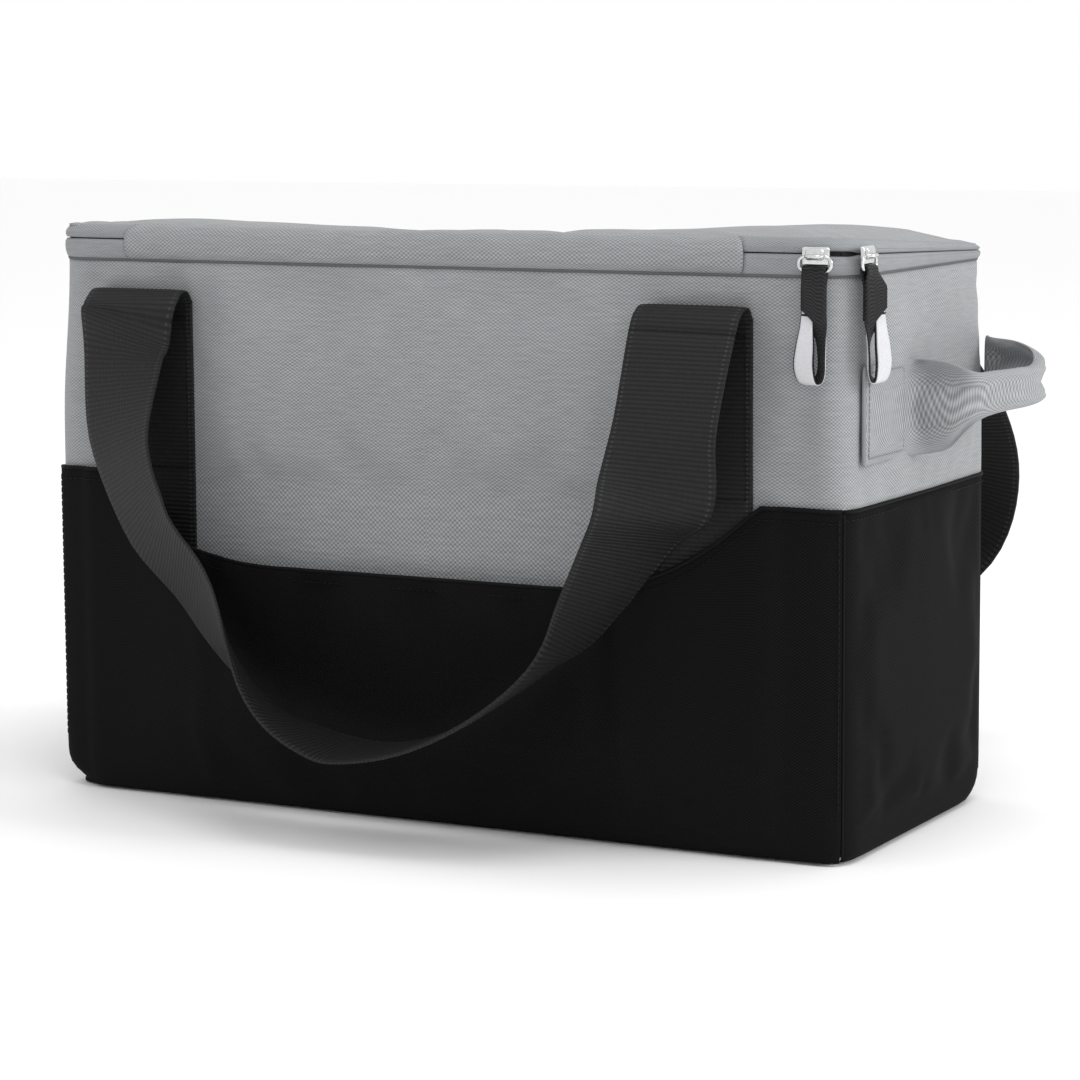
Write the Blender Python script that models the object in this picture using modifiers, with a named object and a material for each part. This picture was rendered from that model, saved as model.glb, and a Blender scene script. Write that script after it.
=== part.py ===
"""Soft insulated cooler bag: padded fabric box, zip lid, webbing carry handles, end grab handles.

Blender 4.5, metres, +Z up. The origin is the centre of the underside; +X is the bag's right-hand end
and -Y is its front, the side with the open pocket and the lid's fabric hinge.
"""
import bpy
import bmesh
import math
from mathutils import Vector

MM = 0.001

# Driving dimensions of the box, in millimetres
HALF_X = 202.0            # half the length of the bag
HALF_Y = 83.0             # half its depth
CORNER_R = 12.0           # plan radius of the vertical corners
BAND_Z = 152.0            # height where black fabric meets grey fabric
SEAM_Z = 250.0            # top edge of the four walls
LID_TOP_Z = 267.0
ZIP_Z = 259.5             # the line where the two halves of the zip meet

# Layers of the wall, measured inwards from the outside of the fabric
FABRIC_T = 1.2
FOAM_IN = 1.5
FOAM_OUT = 9.5
LINER_IN = 9.8
LINER_OUT = 10.8
GAP = 0.3

# Zip, which runs right, back and left from one end of the hinge strip to the other
ZIP_START_X = 153.0
ZIP_END_X = -157.0
HINGE_Y = -88.0           # line about which the open lid turns
HINGE_Z = 262.0

# Webbing carry handles
WEB_W = 50.0
WEB_T = 1.8
LEG_LEFT_X = -147.0
LEG_RIGHT_X = 134.0
LEG_FOOT_Z = 16.0
LEG_TOP_Z = 230.0

# Grab handles on the two ends
GRAB_LOW_Z = 170.0
GRAB_HIGH_Z = 212.0
GRAB_T = 2.0


def clear_scene():
    for obj in list(bpy.data.objects):
        bpy.data.objects.remove(obj, do_unlink=True)


def make_collection(name):
    collection = bpy.data.collections.new(name)
    bpy.context.scene.collection.children.link(collection)
    return collection


def make_material(name, colour, roughness, metallic=0.0):
    material = bpy.data.materials.new(name)
    material.use_nodes = True
    shader = material.node_tree.nodes["Principled BSDF"]
    shader.inputs["Base Color"].default_value = (*colour, 1.0)
    shader.inputs["Roughness"].default_value = roughness
    shader.inputs["Metallic"].default_value = metallic
    material.diffuse_color = (*colour, 1.0)
    return material


clear_scene()
PARTS = make_collection("insulated_cooler_bag")
CUTTERS = make_collection("cutters")

GREY = make_material("grey fabric", (0.33, 0.33, 0.35), 0.8)
BLACK = make_material("black fabric", (0.012, 0.012, 0.013), 0.8)
WEBBING = make_material("black webbing", (0.02, 0.02, 0.022), 0.75)
FOAM = make_material("white foam", (0.85, 0.85, 0.85), 0.9)
LINER = make_material("silver liner", (0.7, 0.71, 0.73), 0.3, 0.6)
BOARD = make_material("base board", (0.08, 0.08, 0.08), 0.6)
TAPE = make_material("grey zip tape", (0.22, 0.22, 0.23), 0.85)
METAL = make_material("bright metal", (0.8, 0.8, 0.82), 0.18, 1.0)
RIBBON = make_material("black ribbon", (0.02, 0.02, 0.02), 0.7)


def add_object(name, data, material, collection=None):
    obj = bpy.data.objects.new(name, data)
    (collection or PARTS).objects.link(obj)
    data.materials.append(material)
    return obj


def flat_outline(name, loops, low, high, material, axis="Z"):
    """A flat piece: closed outlines in millimetres, filled and extruded between low and high on axis."""
    curve = bpy.data.curves.new(name, "CURVE")
    curve.dimensions = "2D"
    curve.fill_mode = "BOTH"
    curve.extrude = (high - low) * 0.5 * MM
    for loop in loops:
        spline = curve.splines.new("POLY")
        spline.points.add(len(loop) - 1)
        for point, (a, b) in zip(spline.points, loop):
            point.co = (a * MM, b * MM, 0.0, 1.0)
        spline.use_cyclic_u = True
    obj = add_object(name, curve, material)
    middle = (low + high) * 0.5 * MM
    if axis == "Z":
        obj.location = (0.0, 0.0, middle)
    elif axis == "X":         # outline drawn in (Y, Z)
        obj.rotation_euler = (math.radians(90), 0.0, math.radians(90))
        obj.location = (middle, 0.0, 0.0)
    else:                     # "Y": outline drawn in (X, Z)
        obj.rotation_euler = (math.radians(90), 0.0, 0.0)
        obj.location = (0.0, middle, 0.0)
    return obj


def to_mesh(obj):
    """Turn a curve object into a welded mesh object with the same name and place."""
    bpy.context.view_layer.update()
    graph = bpy.context.evaluated_depsgraph_get()
    mesh = bpy.data.meshes.new_from_object(obj.evaluated_get(graph))
    bm = bmesh.new()
    bm.from_mesh(mesh)
    bmesh.ops.remove_doubles(bm, verts=bm.verts, dist=0.00001)
    bm.to_mesh(mesh)
    bm.free()
    name = obj.name
    collection = obj.users_collection[0]
    matrix = obj.matrix_world.copy()
    bpy.data.objects.remove(obj, do_unlink=True)
    solid = bpy.data.objects.new(name, mesh)
    collection.objects.link(solid)
    solid.matrix_world = matrix
    return solid


def join_solids(target, tool):
    """Join a second solid to the target. The second one is kept out of the part."""
    if tool.users_collection[0] != CUTTERS:
        tool.users_collection[0].objects.unlink(tool)
        CUTTERS.objects.link(tool)
    tool.hide_render = True
    tool.display_type = "WIRE"
    modifier = target.modifiers.new("union", "BOOLEAN")
    modifier.operation = "UNION"
    modifier.object = tool
    return target


# The bag's outline in plan. A station s is a distance along the outside edge, starting at the middle of
# the front and running to the right-hand end, the back, the left-hand end and round to the front again.
STRAIGHT_X = HALF_X - CORNER_R
STRAIGHT_Y = HALF_Y - CORNER_R
QUARTER = CORNER_R * math.pi / 2
CORNERS = []
_station = STRAIGHT_X
for _side in (2 * STRAIGHT_Y, 2 * STRAIGHT_X, 2 * STRAIGHT_Y, 0.0):
    CORNERS.append(_station)
    _station += QUARTER + _side
PERIMETER = CORNERS[3] + QUARTER + STRAIGHT_X
CORNER_CENTRES = [(1, -1), (1, 1), (-1, 1), (-1, -1)]
CORNER_MIDS = [start + QUARTER / 2 for start in CORNERS]


def outline_point(station, inset=0.0):
    """The plan point (x, y) at a station, moved inwards by inset."""
    s = station % PERIMETER
    for index, start in enumerate(CORNERS):
        if start <= s <= start + QUARTER:
            sign_x, sign_y = CORNER_CENTRES[index]
            angle = math.pi * 0.5 * (index - 1) + (s - start) / CORNER_R
            radius = CORNER_R - inset
            return (sign_x * STRAIGHT_X + radius * math.cos(angle),
                    sign_y * STRAIGHT_Y + radius * math.sin(angle))
    if s < CORNERS[0]:
        return (s, -HALF_Y + inset)
    if s < CORNERS[1]:
        return (HALF_X - inset, s - CORNERS[0] - QUARTER - STRAIGHT_Y)
    if s < CORNERS[2]:
        return (STRAIGHT_X - (s - CORNERS[1] - QUARTER), HALF_Y - inset)
    if s < CORNERS[3]:
        return (-HALF_X + inset, STRAIGHT_Y - (s - CORNERS[2] - QUARTER))
    return (s - PERIMETER, -HALF_Y + inset)


def stations(start, end):
    """start, end and every corner point between them; end may pass the front's middle again."""
    found = [start, end]
    for lap in (0.0, PERIMETER):
        for corner in CORNERS:
            for step in range(7):
                s = corner + QUARTER * step / 6 + lap
                if start + 0.2 < s < end - 0.2:
                    found.append(s)
    return sorted(found)


def plan_outline(inset):
    return [outline_point(s, inset) for s in stations(0.0, PERIMETER)[:-1]]


def wall_strip(name, start, end, inset, outset, low, high, material):
    """A strip of wall that follows the outline from start to end, between two insets."""
    along = stations(start, end)
    outer = [outline_point(s, inset) for s in along]
    inner = [outline_point(s, outset) for s in reversed(along)]
    return flat_outline(name, [outer + inner], low, high, material)


def slab(name, inset, low, high, material):
    return flat_outline(name, [plan_outline(inset)], low, high, material)


def ring(name, inset, outset, low, high, material):
    return flat_outline(name, [plan_outline(inset), plan_outline(outset)], low, high, material)


SIDES = {
    "front": (CORNER_MIDS[3] - PERIMETER, CORNER_MIDS[0]),
    "right": (CORNER_MIDS[0], CORNER_MIDS[1]),
    "back": (CORNER_MIDS[1], CORNER_MIDS[2]),
    "left": (CORNER_MIDS[2], CORNER_MIDS[3]),
}

WALL_FOOT_Z = FABRIC_T + GAP


def wrap(start, end):
    """Shift a side so that its stations run upwards from zero or more."""
    return (start + PERIMETER, end + PERIMETER) if start < 0 else (start, end)


# Outer fabric: grey upper panels, black lower panels, and the front panel that runs down behind the pocket
for side, (start, end) in SIDES.items():
    start, end = wrap(start + 0.15, end - 0.15)
    if side == "front":
        wall_strip("front_panel", start, end, 0.0, FABRIC_T, WALL_FOOT_Z, SEAM_Z, GREY)
        continue
    wall_strip(f"{side}_upper_panel", start, end, 0.0, FABRIC_T, BAND_Z + 0.15, SEAM_Z, GREY)
    wall_strip(f"{side}_lower_panel", start, end, 0.0, FABRIC_T, WALL_FOOT_Z, BAND_Z - 0.15, BLACK)
slab("base_panel", 0.0, 0.0, FABRIC_T, BLACK)

# Foam, board and liner
FOAM_TOP_Z = 247.0
for side, (start, end) in SIDES.items():
    start, end = wrap(start + 0.6, end - 0.6)
    wall_strip(f"{side}_foam", start, end, FOAM_IN, FOAM_OUT, WALL_FOOT_Z, FOAM_TOP_Z, FOAM)
slab("base_board", LINER_IN, WALL_FOOT_Z, 3.5, BOARD)
slab("base_foam", LINER_IN, 3.8, 9.8, FOAM)


def open_tub(name, inset, low, high, thickness, material):
    """A tub: a floor and walls drawn as one open surface, given thickness inwards."""
    bm = bmesh.new()
    corners = [bm.verts.new(Vector((x, y, low)) * MM) for x, y in plan_outline(inset)]
    bm.faces.new(list(reversed(corners)))
    walls = bmesh.ops.extrude_edge_only(bm, edges=bm.edges[:])
    top = [item for item in walls["geom"] if isinstance(item, bmesh.types.BMVert)]
    bmesh.ops.translate(bm, verts=top, vec=(0.0, 0.0, (high - low) * MM))
    bmesh.ops.recalc_face_normals(bm, faces=bm.faces)
    mesh = bpy.data.meshes.new(name)
    bm.to_mesh(mesh)
    bm.free()
    tub = add_object(name, mesh, material)
    modifier = tub.modifiers.new("thickness", "SOLIDIFY")
    modifier.thickness = thickness * MM
    modifier.offset = -1.0
    modifier.use_even_offset = True
    return tub


open_tub("liner_tub", LINER_IN, 10.1, FOAM_TOP_Z, LINER_OUT - LINER_IN, LINER)
ring("rim_binding", FOAM_IN, LINER_OUT, FOAM_TOP_Z + GAP, SEAM_Z - GAP, BLACK)

# Zip: a tape and a coil on the body, and the same on the lid
ZIP_FROM = ZIP_START_X
ZIP_TO = PERIMETER + ZIP_END_X
TAPE_IN = 0.3
TAPE_OUT = 1.3
COIL_IN = -0.3
COIL_OUT = 1.5
wall_strip("zip_tape_lower", ZIP_FROM, ZIP_TO, TAPE_IN, TAPE_OUT, SEAM_Z + GAP, ZIP_Z - 2.4, TAPE)
wall_strip("zip_coil_lower", ZIP_FROM, ZIP_TO, COIL_IN, COIL_OUT, ZIP_Z - 2.1, ZIP_Z - 0.15, BLACK)
wall_strip("zip_coil_upper", ZIP_FROM, ZIP_TO, COIL_IN, COIL_OUT, ZIP_Z + 0.15, ZIP_Z + 2.1, BLACK)
wall_strip("zip_tape_upper", ZIP_FROM, ZIP_TO, TAPE_IN, TAPE_OUT, ZIP_Z + 2.4, LID_TOP_Z - 1.5, TAPE)
wall_strip("lid_hinge_strip", PERIMETER + ZIP_END_X + GAP, PERIMETER + ZIP_START_X - GAP,
           0.0, FABRIC_T, SEAM_Z + GAP, LID_TOP_Z - 1.5, GREY)

# Lid: top fabric, foam and liner
slab("lid_top_panel", 0.0, LID_TOP_Z - FABRIC_T, LID_TOP_Z, GREY)
LID_INSET = 4.0
slab("lid_foam", LID_INSET, 252.3, LID_TOP_Z - 1.5, FOAM)
slab("lid_liner", LID_INSET, 251.1, 252.0, LINER)

# Front pocket: one black panel over the whole front, open along a dipping top edge
POCKET_BULGE = 11.0
POCKET_OVER_LEG = 2.5
POCKET_DIP = 39.0
POCKET_COLUMN_STEP = 6.5
POCKET_ROWS = 12


def smooth(value):
    value = min(max(value, 0.0), 1.0)
    return value * value * (3 - 2 * value)


def pocket_mouth(x):
    """Height of the pocket's top edge: level outside the handle legs, dipping between them."""
    reach = min(x - (LEG_LEFT_X - WEB_W / 2 - 3), (LEG_RIGHT_X + WEB_W / 2 + 1) - x)
    reach = min(max(reach, 0.0) / 105.0, 1.0)
    return BAND_Z - POCKET_DIP * (1.0 - (1.0 - reach) ** 2.4)


def pocket_offset(x, z):
    """How far the pocket's inner face stands off the front panel."""
    leg_left = LEG_LEFT_X - WEB_W / 2
    leg_right = LEG_RIGHT_X + WEB_W / 2
    over_leg = smooth((x - leg_left + 14) / 10) * smooth((leg_right + 14 - x) / 10)
    over_leg *= smooth((z - 2) / 7)
    belly = smooth((x - leg_left - 6) / 40) * smooth((leg_right - 6 - x) / 40) * smooth((z - 2) / 22)
    return GAP + POCKET_OVER_LEG * over_leg + (POCKET_BULGE - POCKET_OVER_LEG) * belly


def front_pocket():
    start, end = SIDES["front"][0] + 0.15, SIDES["front"][1] - 0.15
    flat = int(STRAIGHT_X / POCKET_COLUMN_STEP)
    columns = stations(start + PERIMETER, end + PERIMETER)
    columns += [PERIMETER + k * POCKET_COLUMN_STEP for k in range(-flat + 1, flat)]
    columns.sort()
    bm = bmesh.new()
    bmesh.ops.create_grid(bm, x_segments=len(columns) - 1, y_segments=POCKET_ROWS, size=1.0)
    for vert in bm.verts:
        station = columns[round((len(columns) - 1) * (vert.co.x + 1) / 2)]
        x, _ = outline_point(station, 0.0)
        height = WALL_FOOT_Z + (pocket_mouth(x) - WALL_FOOT_Z) * (vert.co.y + 1) / 2
        plan_x, plan_y = outline_point(station, -pocket_offset(x, height))
        vert.co = Vector((plan_x, plan_y, height)) * MM
    mesh = bpy.data.meshes.new("front_pocket")
    bm.to_mesh(mesh)
    bm.free()
    pocket = add_object("front_pocket", mesh, BLACK)
    modifier = pocket.modifiers.new("thickness", "SOLIDIFY")
    modifier.thickness = FABRIC_T * MM
    modifier.offset = 1.0
    return pocket


front_pocket()


# Webbing carry handles: two sewn legs on each side, and a loop that folds over their tops and hangs
def box_outline(low_a, low_b, high_a, high_b):
    return [(low_a, low_b), (high_a, low_b), (high_a, high_b), (low_a, high_b)]


for side, sign in (("front", -1), ("back", 1)):
    near = sign * (HALF_Y + GAP)
    far = sign * (HALF_Y + GAP + WEB_T)
    for label, centre in (("left", LEG_LEFT_X), ("right", LEG_RIGHT_X)):
        outline = box_outline(centre - WEB_W / 2, LEG_FOOT_Z, centre + WEB_W / 2, LEG_TOP_Z)
        flat_outline(f"{side}_handle_{label}_leg", [outline], min(near, far), max(near, far),
                     WEBBING, axis="Y")

# The loop's route on its right-hand half, from the fold to the lowest point:
# distance from the middle, stand-off from the wall, height, and twist of the strap in degrees
LOOP_ROUTE_FRONT = [
    (140.5, 1.5, 231.2, 0), (140.5, 5.0, 236.0, 0), (140.4, 11.0, 235.0, 0), (140.2, 17.0, 226.0, 0),
    (139.0, 26.0, 200.0, 4), (134.0, 33.0, 168.0, 12), (124.0, 38.0, 134.0, 22),
    (107.0, 42.0, 102.0, 38), (82.0, 47.0, 72.0, 58), (55.0, 52.0, 50.0, 74),
    (27.0, 55.0, 37.0, 85), (0.0, 56.0, 33.0, 90),
]
LOOP_ROUTE_BACK = [
    (140.5, 1.5, 231.2, 0), (140.5, 5.5, 236.5, 0), (140.6, 13.0, 237.0, 0), (141.5, 26.0, 232.0, 0),
    (147.0, 57.0, 207.0, 0), (156.0, 90.0, 172.0, -4), (157.0, 112.0, 138.0, 0),
    (146.0, 122.0, 104.0, 14), (118.0, 121.0, 74.0, 40), (78.0, 113.0, 54.0, 62),
    (38.0, 106.0, 44.0, 80), (0.0, 103.0, 41.0, 90),
]
LOOP_MIDDLE_X = (LEG_LEFT_X + LEG_RIGHT_X) / 2
LOOP_STEPS = 4


def spline_point(points, position):
    """Catmull-Rom value of a list of tuples at a fractional index."""
    index = min(int(position), len(points) - 2)
    t = position - index
    p1, p2 = points[index], points[index + 1]
    p0 = points[max(index - 1, 0)]
    p3 = points[min(index + 2, len(points) - 1)]
    return [0.5 * (2 * b + (c - a) * t + (2 * a - 5 * b + 4 * c - d) * t ** 2
                   + (3 * b - a - 3 * c + d) * t ** 3) for a, b, c, d in zip(p0, p1, p2, p3)]


def strap(name, points, sign):
    """A strap swept through (x, stand-off, height, twist) points, as a flat section."""
    centres = [Vector((LOOP_MIDDLE_X + x, sign * (HALF_Y + out), z)) for x, out, z, _ in points]
    bm = bmesh.new()
    rows = []
    for index, centre in enumerate(centres):
        tangent = (centres[min(index + 1, len(centres) - 1)] - centres[max(index - 1, 0)]).normalized()
        twist = math.radians(points[index][3])
        across = Vector((-math.cos(twist), sign * math.sin(twist), 0.0))
        across = (across - tangent * across.dot(tangent)).normalized()
        normal = tangent.cross(across)
        rows.append([bm.verts.new((centre + across * a * WEB_W / 2 + normal * b * WEB_T / 2) * MM)
                     for a, b in ((-1, -1), (1, -1), (1, 1), (-1, 1))])
    for first, second in zip(rows, rows[1:]):
        for k in range(4):
            bm.faces.new((first[k], first[(k + 1) % 4], second[(k + 1) % 4], second[k]))
    bm.faces.new(list(reversed(rows[0])))
    bm.faces.new(rows[-1])
    bmesh.ops.recalc_face_normals(bm, faces=bm.faces)
    mesh = bpy.data.meshes.new(name)
    bm.to_mesh(mesh)
    bm.free()
    return add_object(name, mesh, WEBBING)


def sample(route, first, last, steps):
    """Points on a route from one fractional index to another."""
    return [spline_point(route, first + (last - first) * k / steps) for k in range(steps + 1)]


def mirrored(points):
    return [(-x, out, z, 180 - twist) for x, out, z, twist in reversed(points)]


FOLD_END = 3.0            # the route's index where the soft fold ends and the hanging loop starts
LOOP_GAP = 0.03
for side, route, sign in (("front", LOOP_ROUTE_FRONT, -1), ("back", LOOP_ROUTE_BACK, 1)):
    fold = sample(route, 0.0, FOLD_END, 9)
    strap(f"{side}_handle_right_fold", fold, sign)
    strap(f"{side}_handle_left_fold", mirrored(fold), sign)
    last = len(route) - 1
    hanging = sample(route, FOLD_END + LOOP_GAP, last, int(last - FOLD_END) * LOOP_STEPS)
    strap(f"{side}_handle_loop", hanging + mirrored(hanging[:-1]), sign)


# Grab handles: a sewn patch at each end, two wings of fabric and a grip folded in half
GRAB_ROUTE = [(-20.5, 2.7), (-17.0, 20.0), (-14.0, 27.0)]
GRIP_ROUTE = [(-13.0, 28.5), (2.0, 34.0), (18.0, 37.5), (34.0, 38.0), (46.0, 36.5)]
FAR_ROUTE = [(47.5, 36.0), (58.0, 24.0), (68.0, 9.0), (71.5, 1.6)]
GRIP_Z = (187.0, 207.0)
GRIP_T = 7.0


def grab_strip(name, route, sign, thickness, low, high):
    """A strip that stands on edge, following a route of (y, stand-off) points from the end wall."""
    points = [Vector((sign * (HALF_X + out), y)) for y, out in route]
    outer, inner = [], []
    for index, point in enumerate(points):
        along = (points[min(index + 1, len(points) - 1)] - points[max(index - 1, 0)]).normalized()
        normal = Vector((-along.y, along.x)) * thickness / 2
        outer.append(tuple(point + normal))
        inner.append(tuple(point - normal))
    return flat_outline(name, [outer + list(reversed(inner))], low, high, GREY)


for side, sign in (("right", 1), ("left", -1)):
    near = sign * (HALF_X + GAP)
    far = sign * (HALF_X + GAP + GRAB_T)
    outline = box_outline(-65.0, GRAB_LOW_Z, -22.0, GRAB_HIGH_Z)
    flat_outline(f"{side}_grab_patch", [outline], min(near, far), max(near, far), GREY, axis="X")
    grab_strip(f"{side}_grab_near_wing", GRAB_ROUTE, sign, GRAB_T, GRAB_LOW_Z + 4, GRAB_HIGH_Z)
    grab_strip(f"{side}_grab_far_wing", FAR_ROUTE, sign, GRAB_T, GRAB_LOW_Z + 4, GRAB_HIGH_Z)
    grab_strip(f"{side}_grab_grip", GRIP_ROUTE, sign, GRIP_T, *GRIP_Z)

# Zip sliders and pulls. Each is laid out on the front wall and then carried to its place
SLIDER_A_X = 188.0
SLIDER_B_Y = -70.0
PLATE_OUT = (0.6, 2.4)
BAIL_Z = 258.6
RING_DROP = 6.8
RING_WIRE = 0.7
RING_OUT = 3.45


def bail_curve(name, collection):
    """The arch on the slider that the ring hangs from, in the plane across the zip."""
    curve = bpy.data.curves.new(name, "CURVE")
    curve.dimensions = "3D"
    curve.bevel_depth = 0.8 * MM
    curve.bevel_resolution = 2
    curve.use_fill_caps = True
    spline = curve.splines.new("POLY")
    route = [(-1.9, -2.6), (-4.3, -2.3), (-5.3, -1.2), (-5.5, 0.0), (-5.3, 1.2), (-4.3, 2.3), (-1.9, 2.6)]
    spline.points.add(len(route) - 1)
    for point, (y, z) in zip(spline.points, route):
        point.co = (0.0, y * MM, z * MM, 1.0)
    return add_object(name, curve, METAL, collection)


def place(obj, turn, position):
    obj.rotation_euler = (0.0, 0.0, math.radians(turn))
    obj.location = Vector(position) * MM
    return obj


def slider(name, turn, position):
    """Slider plate with its bail; local -Y is away from the wall, and the origin is on the wall."""
    outline = [(-6.0, -2.2), (-4.2, -4.0), (4.2, -4.6), (6.0, -2.8),
               (6.0, 2.8), (4.2, 4.6), (-4.2, 4.4), (-6.0, 2.6)]
    plate = to_mesh(flat_outline(name, [outline], -PLATE_OUT[1], -PLATE_OUT[0], METAL, axis="Y"))
    for vert in plate.data.vertices:
        vert.co = plate.matrix_world @ vert.co
    plate.matrix_world.identity()
    arch = to_mesh(bail_curve(name + "_arch", CUTTERS))
    join_solids(plate, arch)
    place(plate, turn, position)
    place(arch, turn, position)
    return plate


def pull_ring(name, turn, position):
    """Wire ring: round at the top, where it hangs in the bail, with a straight bar for the ribbon."""
    half = [(0.0, 0.0), (2.8, -0.3), (5.0, -1.2), (6.6, -2.6), (7.4, -4.4),
            (7.4, -RING_DROP + 0.9), (6.6, -RING_DROP)]
    route = half + [(-x, z) for x, z in reversed(half[1:])]
    curve = bpy.data.curves.new(name, "CURVE")
    curve.dimensions = "3D"
    curve.bevel_depth = RING_WIRE * MM
    curve.bevel_resolution = 2
    spline = curve.splines.new("POLY")
    spline.points.add(len(route) - 1)
    for point, (x, z) in zip(spline.points, route):
        point.co = (x * MM, -RING_OUT * MM, z * MM, 1.0)
    spline.use_cyclic_u = True
    return place(add_object(name, curve, METAL), turn, position)


TAB_TOP = -RING_DROP
TAB_WIDE = 5.4
TAB_LOOP_WIDE = 8.5
TAB_END = -52.5


def pull_tab(name, turn, position):
    """Ribbon tab: a flat strap folded round the ring, with an open loop at its end, facing the front."""
    eye = [(1.2 * math.cos(2 * math.pi * k / 10) - RING_OUT, 1.2 * math.sin(2 * math.pi * k / 10) + TAB_TOP)
           for k in range(10)]
    side_outline = [(-RING_OUT - 2.1, TAB_TOP), (-RING_OUT - 1.5, TAB_TOP + 1.5), (-RING_OUT, TAB_TOP + 2.1),
                    (-RING_OUT + 1.5, TAB_TOP + 1.5), (-RING_OUT + 2.1, TAB_TOP),
                    (-RING_OUT + 1.2, TAB_TOP - 3.5), (-RING_OUT + 1.2, TAB_TOP - 20.5),
                    (-RING_OUT - 1.2, TAB_TOP - 20.5), (-RING_OUT - 1.2, TAB_TOP - 3.5)]
    tab = to_mesh(flat_outline(name, [side_outline, eye], -TAB_WIDE, TAB_WIDE, RIBBON, axis="X"))
    for vert in tab.data.vertices:
        vert.co = tab.matrix_world @ vert.co
    tab.matrix_world.identity()
    loop_top = TAB_TOP - 18.0

    def tear(wide, top, end):
        return [(0.0, top), (wide * 0.55, top - 4.0), (wide, top - 12.0), (wide * 0.92, end + 5.0),
                (wide * 0.55, end + 1.0), (0.0, end), (-wide * 0.55, end + 1.0),
                (-wide * 0.92, end + 5.0), (-wide, top - 12.0), (-wide * 0.55, top - 4.0)]

    outline = [tear(TAB_LOOP_WIDE, loop_top, TAB_END), tear(TAB_LOOP_WIDE - 1.2, loop_top - 3.0, TAB_END + 1.2)]
    loop = to_mesh(flat_outline(name + "_loop", outline, -RING_OUT - 3.0, -RING_OUT + 0.8, RIBBON, axis="Y"))
    for vert in loop.data.vertices:
        vert.co = loop.matrix_world @ vert.co
    loop.matrix_world.identity()
    join_solids(tab, loop)
    place(tab, turn, position)
    place(loop, turn, position)
    return tab


for label, turn, position in (("a", 0.0, (SLIDER_A_X, -HALF_Y, BAIL_Z)),
                              ("b", 90.0, (HALF_X, SLIDER_B_Y, BAIL_Z))):
    slider(f"slider_{label}", turn, position)
    pull_ring(f"pull_ring_{label}", turn, position)
    pull_tab(f"pull_tab_{label}", turn, position)
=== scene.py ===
"""Insulated cooler bag: the looks of the fabric box, zip lid, webbing handles and end grab handles."""
import bpy
import math
from mathutils import Matrix, Vector, noise


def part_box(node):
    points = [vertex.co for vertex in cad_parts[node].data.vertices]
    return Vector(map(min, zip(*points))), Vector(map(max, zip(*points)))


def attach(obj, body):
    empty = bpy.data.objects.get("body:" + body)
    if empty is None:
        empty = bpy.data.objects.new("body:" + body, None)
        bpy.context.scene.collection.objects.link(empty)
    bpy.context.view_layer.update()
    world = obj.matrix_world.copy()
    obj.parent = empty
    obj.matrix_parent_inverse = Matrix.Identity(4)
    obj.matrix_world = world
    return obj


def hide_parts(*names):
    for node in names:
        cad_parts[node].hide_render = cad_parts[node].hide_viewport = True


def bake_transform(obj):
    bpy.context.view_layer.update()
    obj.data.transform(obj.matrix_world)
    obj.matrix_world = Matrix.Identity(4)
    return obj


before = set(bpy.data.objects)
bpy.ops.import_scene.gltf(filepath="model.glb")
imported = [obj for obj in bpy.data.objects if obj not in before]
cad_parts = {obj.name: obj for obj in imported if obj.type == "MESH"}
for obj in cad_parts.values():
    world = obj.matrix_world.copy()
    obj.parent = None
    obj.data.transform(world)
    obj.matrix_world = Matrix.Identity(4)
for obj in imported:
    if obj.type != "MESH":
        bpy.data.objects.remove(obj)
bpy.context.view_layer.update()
MM = 0.001

# ---------------------------------------------------------------------------------------------------
# Studio: a white laminate table under white light from all round, a soft light at the right, a weaker
# one above and in front, and a long lens 1.6 m away.
# ---------------------------------------------------------------------------------------------------
LENS_MM = 115.7
CAMERA_AT = Vector((0.7617, -1.4108, 0.3402))
CAMERA_TO = Vector((0.0142, -0.0035, 0.1195))
CAMERA_ROLL = math.radians(-0.387)
TABLE_SIZE = 14.0
TABLE_DROP = 0.2 * MM           # the table's face lies just under the bag, so the two never share a plane


def add_node(tree, kind, inputs=None, **settings):
    """Add one node. An input is given a value, or another node's output to link from."""
    made = tree.nodes.new(kind)
    for name, value in settings.items():
        setattr(made, name, value)
    for name, value in (inputs or {}).items():
        if isinstance(value, bpy.types.NodeSocket):
            tree.links.new(value, made.inputs[name])
        else:
            made.inputs[name].default_value = value
    return made


def paint(hex_code, alpha=1.0):
    """An sRGB hex colour as the linear numbers that a shader takes."""
    values = [int(hex_code[i:i + 2], 16) / 255 for i in (1, 3, 5)]
    linear = [v / 12.92 if v <= 0.04045 else ((v + 0.055) / 1.055) ** 2.4 for v in values]
    return (*linear, alpha)


def new_material(name):
    """A fresh material, its node tree and its Principled shader."""
    material = bpy.data.materials.new(name)
    material.use_nodes = True
    tree = material.node_tree
    return material, tree, tree.nodes["Principled BSDF"]


def pick_nothing():
    """Deselect everything."""
    bpy.ops.object.select_all(action="DESELECT")


def pick(piece):
    """Select one piece alone and make it the active one."""
    pick_nothing()
    piece.select_set(True)
    bpy.context.view_layer.objects.active = piece


def cover(piece, material):
    """Give a piece its only material."""
    piece.data.materials.clear()
    piece.data.materials.append(material)


camera_data = bpy.data.cameras.new("studio_camera")
camera_data.lens = LENS_MM
camera_data.sensor_width = 36.0
camera = bpy.data.objects.new("studio_camera", camera_data)
bpy.context.scene.collection.objects.link(camera)
camera.location = CAMERA_AT
camera_turn = (CAMERA_TO - CAMERA_AT).to_track_quat("-Z", "Y")
camera.rotation_euler = (camera_turn.to_matrix() @ Matrix.Rotation(CAMERA_ROLL, 3, "Z")).to_euler()
bpy.context.scene.camera = camera
bpy.context.scene.view_settings.view_transform = "Standard"

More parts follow.
